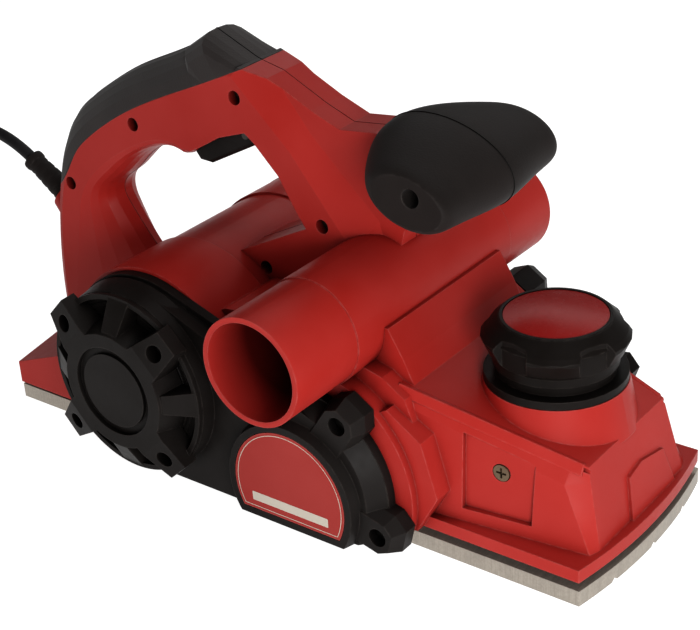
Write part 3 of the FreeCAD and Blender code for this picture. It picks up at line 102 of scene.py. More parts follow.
def revolved(start, axis, profile, sides=56):
    """Points and faces of a closed profile of (distance along the axis, radius), turned round the axis."""
    start, axis = Vector(start), Vector(axis).normalized()
    across = axis.orthogonal().normalized()
    other = axis.cross(across)
    points, faces = [], []
    for along, radius in profile:
        for side in range(sides):
            angle = 2 * math.pi * side / sides
            spoke = across * math.cos(angle) + other * math.sin(angle)
            points.append(start + axis * along + spoke * radius)
    for ring in range(len(profile)):
        here, after = ring * sides, (ring + 1) % len(profile) * sides
        for side in range(sides):
            beside = (side + 1) % sides
            faces.append((here + side, here + beside, after + beside, after + side))
    return points, faces


# ---------------------------------------------------------------- mains cord
CORD_R = 3.25 * MM
CORD_ROUTE = [(-233.0, 0.0, 115.0), (-245.6, 0.0, 123.2), (-273.0, 0.0, 128.0), (-304.0, 2.0, 113.0),
              (-328.0, 6.0, 80.0), (-348.0, 11.0, 40.0), (-376.0, 17.0, 3.25)]
TAIL_ROUTE = [(-396.0, -56.5, 22.8), (-374.0, -63.0, 20.5), (-350.0, -66.0, 13.0), (-328.0, -65.5, 13.0)]
COIL_CENTRE = (-414.0, -23.25)
COIL_STEPS = 16           # points of the route in one turn
COIL_START = 90.0         # angle in degrees where the cord joins the coil
OUTER, MIDDLE, INNER = 42.25, 35.75, 29.25           # radius of each column of turns
LOW, TOP = 3.25, 16.25                               # height of the lowest and highest layer
# (turns so far, radius, height): up the outer column, down the middle one, up the inner one and over the top
COIL_KEYS = [(0.0, OUTER, LOW), (2.0, OUTER, TOP), (2.2, MIDDLE, TOP), (4.2, MIDDLE, LOW), (4.4, INNER, LOW),
             (6.35, INNER, TOP), (6.5, INNER, TOP + 1.25)]


def coil_route():
    """The coil's turns, worked out from its columns."""
    points = []
    count = round(COIL_KEYS[-1][0] * COIL_STEPS)
    # the smooth curve runs inside its control points by about this factor
    shrink = math.cos(math.pi / COIL_STEPS) ** 1.5
    for step in range(count + 1):
        turns = step / COIL_STEPS
        for (t0, r0, z0), (t1, r1, z1) in zip(COIL_KEYS, COIL_KEYS[1:]):
            if t0 <= turns <= t1:
                share = (turns - t0) / (t1 - t0)
                radius, z = r0 + (r1 - r0) * share, z0 + (z1 - z0) * share
        angle = math.radians(COIL_START + 360.0 * turns)
        points.append((COIL_CENTRE[0] + radius / shrink * math.cos(angle),
                       COIL_CENTRE[1] + radius / shrink * math.sin(angle), z))
    return points


GUARD_TIP = Vector(CORD_ROUTE[0])
GUARD_AXIS = Vector((-12.6, 0.0, 8.2)).normalized()
GUARD_LENGTH = 36.0
GUARD_BASE_R, GUARD_NECK_R, GUARD_LIP_R = 7.0, 5.3, 6.0
GUARD_LIP = 4.5           # length of the flared end
GUARD_HOLE_R = CORD_R / MM - 0.05
GUARD_RINGS, GUARD_DIP = 5, 0.28                     # shallow rings round the sleeve, and their depth
GUARD_SMOOTH = 3.0        # plain length before the first ring
LIP_GAP, LIP_STEPS = 0.2, 8


def make_guard():
    """Strain relief: a tapered sleeve with shallow rings and a rolled lip at its free end."""
    neck_end = GUARD_LENGTH - GUARD_LIP
    profile = [(0.0, GUARD_HOLE_R), (0.0, GUARD_BASE_R)]
    for ring in range(GUARD_RINGS):
        for share, dip in ((0.35, 0.0), (0.5, GUARD_DIP), (0.65, GUARD_DIP), (0.8, 0.0)):
            along = GUARD_SMOOTH + (neck_end - GUARD_SMOOTH - 1.0) * (ring + share) / GUARD_RINGS
            radius = GUARD_BASE_R + (GUARD_NECK_R - GUARD_BASE_R) * along / neck_end
            profile.append((along, radius - dip))
    profile.append((neck_end, GUARD_NECK_R))
    middle = neck_end + GUARD_LIP / 2 + LIP_GAP
    for step in range(LIP_STEPS + 1):
        angle = math.pi * step / LIP_STEPS
        profile.append((middle - math.cos(angle) * (GUARD_LIP / 2 - LIP_GAP),
                        GUARD_NECK_R + (GUARD_LIP_R - GUARD_NECK_R) * math.sin(angle) ** 0.6))
    profile.append((GUARD_LENGTH, GUARD_HOLE_R))
    points, faces = revolved(GUARD_TIP - GUARD_AXIS * GUARD_LENGTH, GUARD_AXIS, profile)
    guard = mesh_piece("strain_relief", points, faces, "soft_black", smooth=True)
    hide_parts("cord_guard")
    return guard


def make_cord():
    """The mains cord in one piece: out of the handle, down to the floor, round the coil and to the plug."""
    route = CORD_ROUTE + coil_route() + TAIL_ROUTE
    curve = bpy.data.curves.new("mains_cord", "CURVE")
    curve.dimensions = "3D"
    curve.bevel_depth = 1.0        # times the radius of each point
    curve.bevel_resolution = 5
    curve.use_fill_caps = True
    spline = curve.splines.new("NURBS")
    spline.points.add(len(route) - 1)
    for point, place in zip(spline.points, route):
        point.co = (*(v * MM for v in place), 1.0)
        point.radius = CORD_R
    spline.order_u = 3
    spline.use_endpoint_u = True
    spline.resolution_u = 6
    cord = bpy.data.objects.new("mains_cord", curve)
    bpy.context.scene.collection.objects.link(cord)
    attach(cord, BODY)
    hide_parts("cord_tube", "cord_coil", "cord_tail")
    return cord


# ---------------------------------------------------------------- materials
MOUTH_FADE = 0.026        # depth over which the painted shade inside the chip tube deepens


class Surface:
    """A procedural material: small helpers round one Principled shader."""

    def __init__(self, name, colour, roughness, metallic=0.0, specular=0.15):
        self.material = bpy.data.materials.new(name)
        self.material.use_nodes = True
        self.tree = self.material.node_tree
        self.shader = self.tree.nodes["Principled BSDF"]
        self.set("Base Color", (*colour, 1.0))
        self.set("Roughness", roughness)
        self.set("Metallic", metallic)
        self.set("Specular IOR Level", specular)
        self.heights = []
        self.place = self.node("ShaderNodeTexCoord").outputs["Object"]

    def node(self, kind, **settings):
        made = self.tree.nodes.new(kind)
        for key, value in settings.items():
            setattr(made, key, value)
        return made

    def set(self, socket, value):
        self.shader.inputs[socket].default_value = value

    def link(self, output, target):
        self.tree.links.new(output, target)

    def stretched(self, scale):
        mapping = self.node("ShaderNodeMapping")
        mapping.inputs["Scale"].default_value = scale
        self.link(self.place, mapping.inputs["Vector"])
        return mapping.outputs["Vector"]

    def noise(self, scale, detail=3.0, rough=0.55, stretch=None):
        """Noise with this many features per metre."""
        made = self.node("ShaderNodeTexNoise")
        made.inputs["Scale"].default_value = scale
        made.inputs["Detail"].default_value = detail
        made.inputs["Roughness"].default_value = rough
        self.link(self.place if stretch is None else self.stretched(stretch), made.inputs["Vector"])
        return made.outputs["Fac"]

    def ranged(self, value, low, high, out_low, out_high):
        made = self.node("ShaderNodeMapRange")
        limits = {"From Min": low, "From Max": high, "To Min": out_low, "To Max": out_high}
        for socket, number in limits.items():
            made.inputs[socket].default_value = number
        self.link(value, made.inputs["Value"])
        return made.outputs["Result"]

    def maths(self, operation, a, b):
        made = self.node("ShaderNodeMath", operation=operation)
        for socket, value in zip(made.inputs, (a, b)):
            if isinstance(value, (int, float)):
                socket.default_value = value
            else:
                self.link(value, socket)
        return made.outputs["Value"]

    def mixed(self, share, colour_a, colour_b):
        made = self.node("ShaderNodeMix", data_type="RGBA")
        sockets = [s for s in made.inputs if s.type == "RGBA"]
        for socket, value in zip(sockets, (colour_a, colour_b)):
            if isinstance(value, tuple):
                socket.default_value = (*value[:3], 1.0)
            else:
                self.link(value, socket)
        self.link(share, made.inputs["Factor"])
        return [s for s in made.outputs if s.type == "RGBA"][0]

    def painted_shade_inside_bore(self, axis_x, axis_z, bore, middle, half):
        """A painted shade: 1 outside a bore along Y; inside it, less and less from its mouths to its middle.
        """
        split = self.node("ShaderNodeSeparateXYZ")
        self.link(self.place, split.inputs["Vector"])
        x = self.maths("SUBTRACT", split.outputs["X"], axis_x)
        z = self.maths("SUBTRACT", split.outputs["Z"], axis_z)
        squares = self.maths("ADD", self.maths("MULTIPLY", x, x), self.maths("MULTIPLY", z, z))
        reach = self.maths("SQRT", squares, 0.0)
        outside = self.ranged(reach, bore + 0.0004, bore + 0.0009, 0.0, 1.0)
        along = self.maths("ABSOLUTE", self.maths("SUBTRACT", split.outputs["Y"], middle), 0.0)
        return self.maths("MAXIMUM", outside, self.ranged(along, half - MOUTH_FADE, half, 0.05, 0.9))

    def painted_shade_in_hollows(self, reach, darkest):
        """A painted shade, as a factor for colours: 1 in the open, down to this value deep in corners and
        holes.
        """
        occlusion = self.node("ShaderNodeAmbientOcclusion", samples=8)
        occlusion.inputs["Distance"].default_value = reach
        return self.ranged(occlusion.outputs["AO"], 0.12, 0.72, darkest, 1.0)

    def height(self, value, depth):
        """Add a relief: this value from 0 to 1 stands for a depth in metres."""
        self.heights.append((value, depth))

    def edge_mask(self, radius):
        """1 along edges that stick out or in, 0 on open faces."""
        rounded = self.node("ShaderNodeBevel", samples=4)
        rounded.inputs["Radius"].default_value = radius
        geometry = self.node("ShaderNodeNewGeometry")
        dot = self.node("ShaderNodeVectorMath", operation="DOT_PRODUCT")
        self.link(rounded.outputs["Normal"], dot.inputs[0])
        self.link(geometry.outputs["True Normal"], dot.inputs[1])
        return self.ranged(dot.outputs["Value"], 0.995, 0.86, 0.0, 1.0)

    def finish(self, round_edges=0.0):
        """Link the reliefs and the rounding of edges to the shader's normal."""
        normal = None
        if round_edges:
            rounded = self.node("ShaderNodeBevel", samples=4)
            rounded.inputs["Radius"].default_value = round_edges
            normal = rounded.outputs["Normal"]
        for value, depth in self.heights:
            bump = self.node("ShaderNodeBump")
            bump.inputs["Strength"].default_value = 1.0
            bump.inputs["Distance"].default_value = depth
            self.link(value, bump.inputs["Height"])
            if normal is not None:
                self.link(normal, bump.inputs["Normal"])
            normal = bump.outputs["Normal"]
        if normal is not None:
            self.link(normal, self.shader.inputs["Normal"])
        return self.material


def darker(colour, factor):
    """The colour times this factor, which is above 1 for a lighter tone."""
    return tuple(c * factor for c in colour)


def blended(colour, other, share):
    """This share of the way from one colour to another."""
    return tuple(a + (b - a) * share for a, b in zip(colour, other))


def moulded_plastic(name, colour, roughness, grain=0.00002, edge_wear_and_highlight=None, round_edges=0.0006, specular=0.1,
                    duct=None):
    """Moulded plastic: fine spark-eroded grain, slow changes of gloss and colour, paler edges (partly rubbed
    wear, partly a painted highlight), painted shade in corners and holes and inside a duct.
    """
    s = Surface(name, colour, roughness, specular=specular)
    cloud = s.noise(14.0, 4.0)
    fine = s.noise(260.0, 3.0)
    tone = s.mixed(s.ranged(cloud, 0.3, 0.7, 0.0, 1.0), darker(colour, 0.88),
                   blended(colour, (1, 1, 1), 0.012))
    if edge_wear_and_highlight is None:
        edge_wear_and_highlight = blended(colour, (1.0, 0.8, 0.75), 0.10)
    # paler edges: partly rubbed wear, partly a painted highlight
    edges = s.maths("MULTIPLY", s.edge_mask(0.0011), s.ranged(fine, 0.38, 0.62, 0.1, 0.75))
    tone = s.mixed(edges, tone, edge_wear_and_highlight)
    if duct:
        # painted shade deep inside a duct, darkest at its middle
        tone = s.mixed(s.painted_shade_inside_bore(*duct), darker(colour, 0.1), tone)
    # painted shade: the colour darkens in corners, holes and seams
    tone = s.mixed(s.painted_shade_in_hollows(0.014, 0.0), darker(colour, 0.12), tone)
    s.link(tone, s.shader.inputs["Base Color"])
    gloss = s.maths("ADD", s.ranged(cloud, 0.3, 0.7, roughness - 0.05, roughness + 0.04),
                    s.ranged(fine, 0.3, 0.7, -0.035, 0.035))
    s.link(gloss, s.shader.inputs["Roughness"])
    s.height(s.noise(1700.0, 2.0, 0.6), grain)
    s.height(s.noise(45.0, 2.0), 0.00009)
    return s.finish(round_edges)


def soft_rubber(name, colour, roughness=0.58, dimples=1150.0, depth=0.00005, sheen=0.03):
    """Over-moulded rubber: an even fine pebble and a dull bloom."""
    s = Surface(name, colour, roughness, specular=0.08)
    s.set("Sheen Weight", sheen)
    s.set("Sheen Roughness", 0.55)
    cloud = s.noise(22.0, 4.0)
    pebble = s.node("ShaderNodeTexVoronoi", feature="SMOOTH_F1")
    pebble.inputs["Scale"].default_value = dimples
    s.link(s.place, pebble.inputs["Vector"])
    tone = s.mixed(s.ranged(cloud, 0.3, 0.7, 0.0, 1.0), darker(colour, 0.82), darker(colour, 1.25))
    dust = s.maths("MULTIPLY", s.edge_mask(0.0014), s.ranged(s.noise(240.0), 0.4, 0.65, 0.0, 0.5))
    s.link(s.mixed(dust, tone, blended(colour, (0.5, 0.45, 0.42), 0.12)), s.shader.inputs["Base Color"])
    s.link(s.ranged(cloud, 0.3, 0.7, roughness - 0.06, roughness + 0.06), s.shader.inputs["Roughness"])
    s.height(pebble.outputs["Distance"], depth)
    s.height(s.noise(60.0, 2.0), 0.0001)
    return s.finish(0.0008)


def cast_metal(name, colour, roughness=0.42):
    """Machined cast aluminium: pale, with grains, cutter lines and small stains."""
    s = Surface(name, colour, roughness, metallic=0.55)
    grains = s.noise(900.0, 3.0, 0.7)
    lines = s.noise(70.0, 4.0, 0.7, stretch=(26.0, 1.2, 0.6))
    stains = s.noise(30.0, 5.0, 0.65)
    tone = s.mixed(s.ranged(lines, 0.32, 0.68, 0.0, 1.0), darker(colour, 0.74), darker(colour, 1.12))
    tone = s.mixed(s.ranged(grains, 0.35, 0.7, 0.0, 0.5), tone, darker(colour, 0.6))
    tone = s.mixed(s.ranged(stains, 0.52, 0.8, 0.0, 0.45), tone, darker(colour, 0.55))
    s.link(tone, s.shader.inputs["Base Color"])
    s.link(s.ranged(lines, 0.3, 0.7, roughness - 0.1, roughness + 0.12), s.shader.inputs["Roughness"])
    s.height(grains, 0.00006)
    s.height(lines, 0.00003)
    return s.finish(0.0004)


def worked_steel(name, colour, roughness=0.32, metallic=1.0, scratch=(1.0, 18.0, 1.0)):
    """Turned, ground or drawn metal: fine lines one way and a slightly uneven tone."""
    s = Surface(name, colour, roughness, metallic=metallic)
    lines = s.noise(220.0, 3.0, 0.6, stretch=scratch)
    cloud = s.noise(60.0, 3.0)
    s.link(s.mixed(s.ranged(cloud, 0.3, 0.7, 0.0, 1.0), darker(colour, 0.8), darker(colour, 1.08)),
           s.shader.inputs["Base Color"])
    s.link(s.ranged(lines, 0.3, 0.7, roughness - 0.1, roughness + 0.12), s.shader.inputs["Roughness"])
    s.height(lines, 0.00001)
    return s.finish(0.0002)


def wound_copper(name, colour):
    """Enamelled wire, as rounded ridges side by side."""
    s = Surface(name, colour, 0.3, metallic=0.9)
    wave = s.node("ShaderNodeTexWave", wave_type="BANDS", bands_direction="DIAGONAL")
    wave.inputs["Scale"].default_value = 420.0
    wave.inputs["Distortion"].default_value = 0.6
    s.link(s.place, wave.inputs["Vector"])
    s.link(s.mixed(wave.outputs["Fac"], darker(colour, 0.45), colour), s.shader.inputs["Base Color"])
    s.height(wave.outputs["Fac"], 0.0002)
    return s.finish()


def laminated_steel(name, colour):
    """A stack of thin sheets, with a dark line between them."""
    s = Surface(name, colour, 0.4, metallic=0.9)
    wave = s.node("ShaderNodeTexWave", wave_type="BANDS", bands_direction="Y")
    wave.inputs["Scale"].default_value = 300.0
    s.link(s.place, wave.inputs["Vector"])
    s.link(s.mixed(wave.outputs["Fac"], darker(colour, 0.4), colour), s.shader.inputs["Base Color"])
    s.height(wave.outputs["Fac"], 0.0001)
    return s.finish()


def cord_sheath(name, colour):
    """Smooth black sheath with faint rubbed streaks."""
    s = Surface(name, colour, 0.5)
    streaks = s.noise(90.0, 4.0, 0.6)
    s.link(s.mixed(s.ranged(streaks, 0.35, 0.7, 0.0, 1.0), darker(colour, 0.8), darker(colour, 1.5)),
           s.shader.inputs["Base Color"])
    s.link(s.ranged(streaks, 0.3, 0.7, 0.42, 0.6), s.shader.inputs["Roughness"])
    s.height(s.noise(1500.0, 2.0), 0.00002)
    return s.finish(0.0004)


RED = (0.38, 0.024, 0.018)
RED_DISC = (0.33, 0.016, 0.014)
BLACK = (0.0085, 0.0062, 0.0052)
# pale edges of the black plastic: rubbed wear and a painted highlight
BLACK_EDGE_WEAR_AND_HIGHLIGHT = (0.045, 0.038, 0.034)
SOFT_BLACK = (0.017, 0.0135, 0.0125)
# lighter than SOFT_BLACK: a painted sheen from the light above
SOFT_BLACK_PAINTED_SHEEN = (0.028, 0.023, 0.022)
GROOVE_BLACK, GROOVE_RED = (0.0035, 0.0025, 0.0022), (0.06, 0.004, 0.003)
LABEL_RED, LABEL_PALE = (0.32, 0.030, 0.024), (0.52, 0.47, 0.40)
BRONZE = (0.20, 0.15, 0.10)
SOLE = (0.40, 0.36, 0.31)


def make_materials():
    """One material for each slot of the record."""
    return {
        "red_plastic": moulded_plastic("red_plastic", RED, 0.38),
        "red_disc": moulded_plastic("red_disc", RED_DISC, 0.3, grain=0.000006, round_edges=0.0004),
        "black_plastic": moulded_plastic("black_plastic", BLACK, 0.42, edge_wear_and_highlight=BLACK_EDGE_WEAR_AND_HIGHLIGHT, specular=0.07),
        "soft_black": soft_rubber("soft_black", SOFT_BLACK),
        "cast_sole": cast_metal("cast_sole", SOLE),
        "label": moulded_plastic("label", LABEL_RED, 0.34, grain=0.000004, round_edges=0.0002),
        "dark_steel": worked_steel("dark_steel", (0.06, 0.055, 0.05), 0.35),
        "steel": worked_steel("steel", (0.58, 0.56, 0.53), 0.28),
        "drum_metal": worked_steel("drum_metal", (0.62, 0.62, 0.61), 0.33, scratch=(1.0, 0.3, 30.0)),
        "belt_rubber": soft_rubber("belt_rubber", (0.015, 0.015, 0.015), 0.7, dimples=700.0),
        "core_steel": laminated_steel("core_steel", (0.3, 0.29, 0.28)),
        "copper": wound_copper("copper", (0.72, 0.30, 0.15)),
        "fan_plastic": moulded_plastic("fan_plastic", (0.05, 0.05, 0.055), 0.5),
        "carbon": soft_rubber("carbon", (0.03, 0.03, 0.03), 0.45, dimples=2200.0),
        "capacitor_case": moulded_plastic("capacitor_case", (0.7, 0.5, 0.08), 0.3,
                                          edge_wear_and_highlight=(0.8, 0.65, 0.3)),
        "cord": cord_sheath("cord", (0.014, 0.013, 0.014)),
        "pin_brass": worked_steel("pin_brass", (0.72, 0.66, 0.5), 0.25),
    }


TUBE_X, TUBE_Z, TUBE_BORE = 0.0152, 0.1033, 0.0236        # chip tube: its axis and the radius inside


def make_duct_red():
    """The chip tube's red, with a painted shade inside that deepens from its mouths to its middle."""
    low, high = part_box("chip_tube")
    duct = (TUBE_X, TUBE_Z, TUBE_BORE, (low.y + high.y) / 2, (high.y - low.y) / 2)
    return moulded_plastic("duct_red", RED, 0.38, duct=duct)


def dress(thing, material):
    """Give a node or a piece this material alone."""
    thing.data.materials.clear()
    thing.data.materials.append(material)


# ---------------------------------------------------------------- print on the rating plate
def arc_points(centre, radius, start, end, count):
    """Points of an arc in the (x, z) plane, angles in degrees."""
    angles = [math.radians(start + (end - start) * step / count) for step in range(count + 1)]
    return [(centre[0] + radius * math.cos(a), centre[1] + radius * math.sin(a)) for a in angles]


def plate(outline, face_y, thickness):
    """Points and faces of a flat plate facing -Y, with this (x, z) outline."""
    count = len(outline)
    points = [(x, y, z) for y in (face_y, face_y + thickness) for x, z in outline]
    faces = [tuple(range(count)), tuple(range(2 * count - 1, count - 1, -1))]
    faces += [(i, (i + 1) % count, count + (i + 1) % count, count + i) for i in range(count)]
    return points, faces


STRIP_X, STRIP_Z = (-12.5, 32.5), (14.8, 19.6)       # blank strip of the rating plate
LABEL_CENTRE, LABEL_R, LABEL_CUT = (10.0, 25.0), 32.2, 10.0
LINE_INSET, LINE_WIDE = 1.5, 0.35
STRIP_CORNER = 0.5        # radius of the strip's corners


def make_label_print():
    """The rating plate's blank light strip, and the fine line round its edge."""
    face_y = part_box("label_plate")[0].y / MM
    corner = STRIP_CORNER
    (x0, x1), (z0, z1) = STRIP_X, STRIP_Z
    outline = []
    for cx, cz, start in ((x1 - corner, z1 - corner, 0), (x0 + corner, z1 - corner, 90),
                          (x0 + corner, z0 + corner, 180), (x1 - corner, z0 + corner, 270)):
        outline += arc_points((cx, cz), corner, start, start + 90, 4)
    strip = mesh_piece("label_strip", *plate(outline, face_y - 0.06, 0.1), "label")
    radius = LABEL_R - LINE_INSET
    low = LABEL_CUT + LINE_INSET
    angle = math.degrees(math.asin((LABEL_CENTRE[1] - low) / radius))
    outer = arc_points(LABEL_CENTRE, radius, -angle, 180 + angle, 72)
    inner_r = radius - LINE_WIDE
    angle = math.degrees(math.asin((LABEL_CENTRE[1] - low - LINE_WIDE) / inner_r))
    inner = arc_points(LABEL_CENTRE, inner_r, -angle, 180 + angle, 72)
    count = len(outer)
    rows = [[(x, y, z) for x, z in side]
            for y in (face_y - 0.05, face_y + 0.04) for side in (outer, inner)]
    points = [point for row in rows for point in row]
    faces = []
    for i in range(count):
        j = (i + 1) % count
        faces.append((i, j, count + j, count + i))
        faces.append((2 * count + i, 3 * count + i, 3 * count + j, 2 * count + j))
        faces.append((i, 2 * count + i, 2 * count + j, j))
        faces.append((count + i, count + j, 3 * count + j, 3 * count + i))
    line = mesh_piece("label_line", points, faces, "label")
    return strip, line


# ---------------------------------------------------------------- moulded details of the housing, and a painted shade behind the vent windows
# the edge of the sloping top, and the way down the bevel beside it, at the rear and the front end
CREASE_REAR, CREASE_FRONT = Vector((52.0, 51.1, 80.2)), Vector((137.5, 35.15, 57.0))
BEVEL_REAR, BEVEL_FRONT = Vector((0.0, 0.265, -0.964)), Vector((0.0, 0.47, -0.883))
RIDGE_WIDE, RIDGE_HIGH, RIDGE_SUNK = 5.2, 0.55, 0.8


def make_ridges():
    """The raised band along each long edge of the front shell's sloping top."""
    steps = 12
    top, inward = Vector((0.0, 0.0, 1.0)), Vector((0.0, -1.0, 0.0))
    ridges = []
    for side, name in ((-1, "ridge_left"), (1, "ridge_right")):
        rings = []
        for step in range(steps + 1):
            share = step / steps
            crease = CREASE_REAR.lerp(CREASE_FRONT, share)
            down = BEVEL_REAR.lerp(BEVEL_FRONT, share).normalized()
            out = Vector((0.0, -down.z, down.y))
            ring = [crease + down * RIDGE_WIDE - out * RIDGE_SUNK,
                    crease + down * RIDGE_WIDE + out * 0.1,
                    crease + down * (RIDGE_WIDE - 0.7) + out * RIDGE_HIGH,
                    crease + down * 0.3 + out * RIDGE_HIGH,
                    crease + (out + top) * RIDGE_HIGH * 0.62,
                    crease + inward * 0.9 + top * RIDGE_HIGH * 0.8,
                    crease + inward * 1.5 + top * 0.05,
                    crease + inward * 1.5 - top * RIDGE_SUNK,
                    crease - (out + top) * RIDGE_SUNK]
            rings.append([(point.x, side * point.y, point.z) for point in ring])
        count = len(rings[0])
        points = [point for ring in rings for point in ring]
        faces = [tuple(range(count)), tuple(range(steps * count, (steps + 1) * count))]
        for step in range(steps):
            for i in range(count):
                j = (i + 1) % count
                here, after = step * count, (step + 1) * count
                faces.append((here + i, here + j, after + j, after + i))
        ridges.append(mesh_piece(name, points, faces, "red_plastic"))
    return ridges


MOTOR_X, MOTOR_Z = -85.5, 58.0
# a black disc behind the vent windows stands in for the shade inside them: painted shade
SHADE_DISC_Y = -83.0
SHADE_DISC_IN, SHADE_DISC_OUT, SHADE_DISC_THICK = 28.6, 44.2, 0.7
LOUVRES = 5


def make_shade_disc():
    """A ribbed black disc behind the vent cap's windows, a painted shade: it stands for the shade inside
    them.
    """
    profile = [(0.0, SHADE_DISC_IN), (0.0, SHADE_DISC_OUT)]
    pitch = (SHADE_DISC_OUT - SHADE_DISC_IN) / LOUVRES
    for louvre in range(LOUVRES):
        outer = SHADE_DISC_OUT - pitch * louvre
        profile += [(SHADE_DISC_THICK, outer), (SHADE_DISC_THICK, outer - pitch * 0.55),
                    (SHADE_DISC_THICK * 0.4, outer - pitch * 0.6), (SHADE_DISC_THICK * 0.4, outer - pitch * 0.95)]
    profile.append((SHADE_DISC_THICK, SHADE_DISC_IN))
    points, faces = revolved((MOTOR_X, SHADE_DISC_Y, MOTOR_Z), (0.0, -1.0, 0.0), profile, sides=72)
    return mesh_piece("vent_shade_disc", points, faces, "black_plastic")


# ---------------------------------------------------------------- parting lines
SHORTEST_PATH = 0.006     # in metres; anything shorter is left out


def parting_paths(name, neighbours, at_y, gap=0.03):
    """Where the plane y = at_y meets a node's outer skin, as lists of points."""
    shape = bmesh.new()
    shape.from_mesh(frame["nodes"][name].data)
    bmesh.ops.remove_doubles(shape, verts=shape.verts, dist=1e-6)
    corners, polygons = [], []
    for other in [name] + neighbours:
        mesh = frame["nodes"][other].data
        first = len(corners)
        corners += [vertex.co.copy() for vertex in mesh.vertices]
        polygons += [[first + i for i in polygon.vertices] for polygon in mesh.polygons]
    skin = BVHTree.FromPolygons(corners, polygons)
    everything = shape.verts[:] + shape.edges[:] + shape.faces[:]
    cut = bmesh.ops.bisect_plane(shape, geom=everything, dist=1e-7, plane_co=(0.0, at_y, 0.0),
                                 plane_no=(0.0, 1.0, 0.0))["geom_cut"]
    links = {}
    for edge in cut:
        if not isinstance(edge, bmesh.types.BMEdge):
            continue
        outward = sum((face.normal for face in edge.link_faces), Vector())
        outward.y = 0.0
        if outward.length < 1e-6:
            continue
        outward.normalize()
        middle = (edge.verts[0].co + edge.verts[1].co) / 2
        if skin.ray_cast(middle + outward * 0.0004, outward, gap)[0] is None:
            for near, far in (edge.verts, reversed(edge.verts)):
                links.setdefault(near.index, []).append(far.index)
    shape.verts.ensure_lookup_table()
    place = {index: shape.verts[index].co.copy() for index in links}
    shape.free()
    paths = []
    ends = [i for i in links if len(links[i]) != 2]
    for start in ends + list(links):
        while links[start]:
            path, here = [start], start
            while links[here]:
                after = links[here].pop()
                links[after].remove(here)
                path.append(after)
                here = after
            paths.append([place[i] for i in path])
    return [path for path in paths
            if sum((b - a).length for a, b in zip(path, path[1:])) > SHORTEST_PATH]


def parting_line(name, node, neighbours, at_y, radius):
    """A thin dark line, half sunk into the skin, where two halves of a moulding meet."""
    curve = bpy.data.curves.new(name, "CURVE")
    curve.dimensions = "3D"
    curve.bevel_depth = 1.0
    curve.bevel_resolution = 1
    for path in parting_paths(node, neighbours, at_y):
        spline = curve.splines.new("POLY")
        spline.points.add(len(path) - 1)
        for point, place in zip(spline.points, path):
            point.co = (*place, 1.0)
            point.radius = radius
    line = bpy.data.objects.new(name, curve)
    bpy.context.scene.collection.objects.link(line)
    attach(line, BODY)
    return line


def make_parting_lines():
    """The joints between the front grip's halves, over the rubber, and between the handle's halves."""
    grip = ["tee_grip_left", "tee_grip_right"]
    handle = ["handle_left", "handle_right", "soft_grip", "main_housing"] + grip
    return [parting_line("grip_parting", "tee_grip_left", grip[1:], -0.0001, 0.00042),
            parting_line("hood_parting", "soft_grip", handle, 0.0, 0.00025),
            parting_line("handle_parting", "handle_left", handle[1:], -0.0001, 0.00016)]


# ---------------------------------------------------------------- light and floor
FLOOR_HALF = 6.0
FLOOR_Z = -0.0002         # just under the soles, so that the two faces never share a plane


def make_floor():
    """A pale ground that glows a little, so that it stays near white round the planer."""
    mesh = bpy.data.meshes.new("floor")
    corners = [(-FLOOR_HALF, -FLOOR_HALF), (FLOOR_HALF, -FLOOR_HALF), (FLOOR_HALF, FLOOR_HALF),
               (-FLOOR_HALF, FLOOR_HALF)]
    mesh.from_pydata([(x, y, FLOOR_Z) for x, y in corners], [], [(0, 1, 2, 3)])
    floor = bpy.data.objects.new("floor", mesh)
    bpy.context.scene.collection.objects.link(floor)
    s = Surface("pale_floor", (0.45, 0.45, 0.45), 0.9, specular=0.05)
    s.set("Emission Color", (1.0, 1.0, 1.0, 1.0))
    s.set("Emission Strength", 0.75)
    mesh.materials.append(s.finish())


def area_light(name, place, target, size, power):
    """A soft box of this size in metres, turned to a target."""
    light = bpy.data.lights.new(name, "AREA")
    light.shape = "RECTANGLE"
    light.size, light.size_y = size
    light.energy = power
    holder = bpy.data.objects.new(name, light)
    direction = Vector(target) - Vector(place)
    holder.location = place
    holder.rotation_euler = direction.to_track_quat("-Z", "Y").to_euler()
    bpy.context.scene.collection.objects.link(holder)


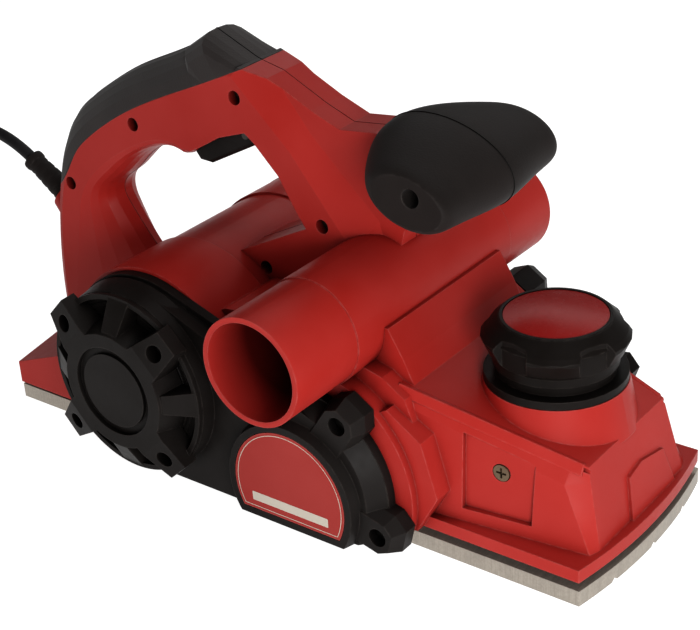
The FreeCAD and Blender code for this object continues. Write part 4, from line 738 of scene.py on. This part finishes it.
def make_light():
    """A light tent, brighter towards the front, with one soft box at the front right and one above."""
    world = bpy.data.worlds.new("tent")
    world.use_nodes = True
    bpy.context.scene.world = world
    tree = world.node_tree
    background = tree.nodes["Background"]
    background.inputs["Color"].default_value = (1.0, 0.99, 0.97, 1.0)
    place = tree.nodes.new("ShaderNodeTexCoord")
    split = tree.nodes.new("ShaderNodeSeparateXYZ")
    ramp = tree.nodes.new("ShaderNodeMapRange")
    for socket, number in (("From Min", -1.0), ("From Max", 1.0), ("To Min", 0.08), ("To Max", 0.34)):
        ramp.inputs[socket].default_value = number
    tree.links.new(place.outputs["Generated"], split.inputs["Vector"])
    tree.links.new(split.outputs["X"], ramp.inputs["Value"])
    tree.links.new(ramp.outputs["Result"], background.inputs["Strength"])
    middle = (0.0, 0.0, 0.08)
    area_light("key", (0.56, -0.52, 0.24), (0.06, 0.0, 0.07), (0.3, 0.26), 3.9)
    area_light("top", (0.1, 0.15, 1.2), middle, (0.8, 0.6), 2.2)
    area_light("rim", (-0.2, 0.9, 0.75), middle, (1.2, 0.3), 2.0)


def make_handle_rubber():
    """The grip's rubber, a little greyer and duller than the rest: its lighter colour is a painted sheen
    from the light above.
    """
    return soft_rubber("handle_rubber", SOFT_BLACK_PAINTED_SHEEN, sheen=0.14)


def make_worn_bronze():
    """The near guide screw's metal, brown from wear."""
    return worked_steel("worn_bronze", BRONZE, 0.4, metallic=0.8)


make_camera()
guard = make_guard()
cord = make_cord()
label_print = make_label_print()
ridges = make_ridges()
shade_disc = make_shade_disc()
parting_lines = make_parting_lines()

materials = make_materials()
slot_of = {row["node"]: row["material_slot"] for row in frame["record"]["subparts"]}
for name, node in frame["nodes"].items():
    dress(node, materials[slot_of[name]])
dress(frame["nodes"]["chip_tube"], make_duct_red())
dress(frame["nodes"]["guide_screw"], make_worn_bronze())
dress(cord, materials["cord"])
dress(guard, materials["soft_black"])
dress(shade_disc, materials["black_plastic"])
for ridge in ridges:
    dress(ridge, materials["red_plastic"])
dress(frame["nodes"]["soft_grip"], make_handle_rubber())
pale = moulded_plastic("label_pale", LABEL_PALE, 0.45, grain=0.000004, round_edges=0.0)
for piece in label_print:
    dress(piece, pale)
groove = cord_sheath("parting_groove", GROOVE_BLACK)
red_groove = cord_sheath("red_parting_groove", GROOVE_RED)
for piece in parting_lines:
    dress(piece, red_groove if piece.name == "handle_parting" else groove)
make_floor()
make_light()
bpy.context.scene.view_settings.view_transform = "Standard"
bpy.context.scene.view_settings.look = "Medium High Contrast"

bpy.context.view_layer.update()
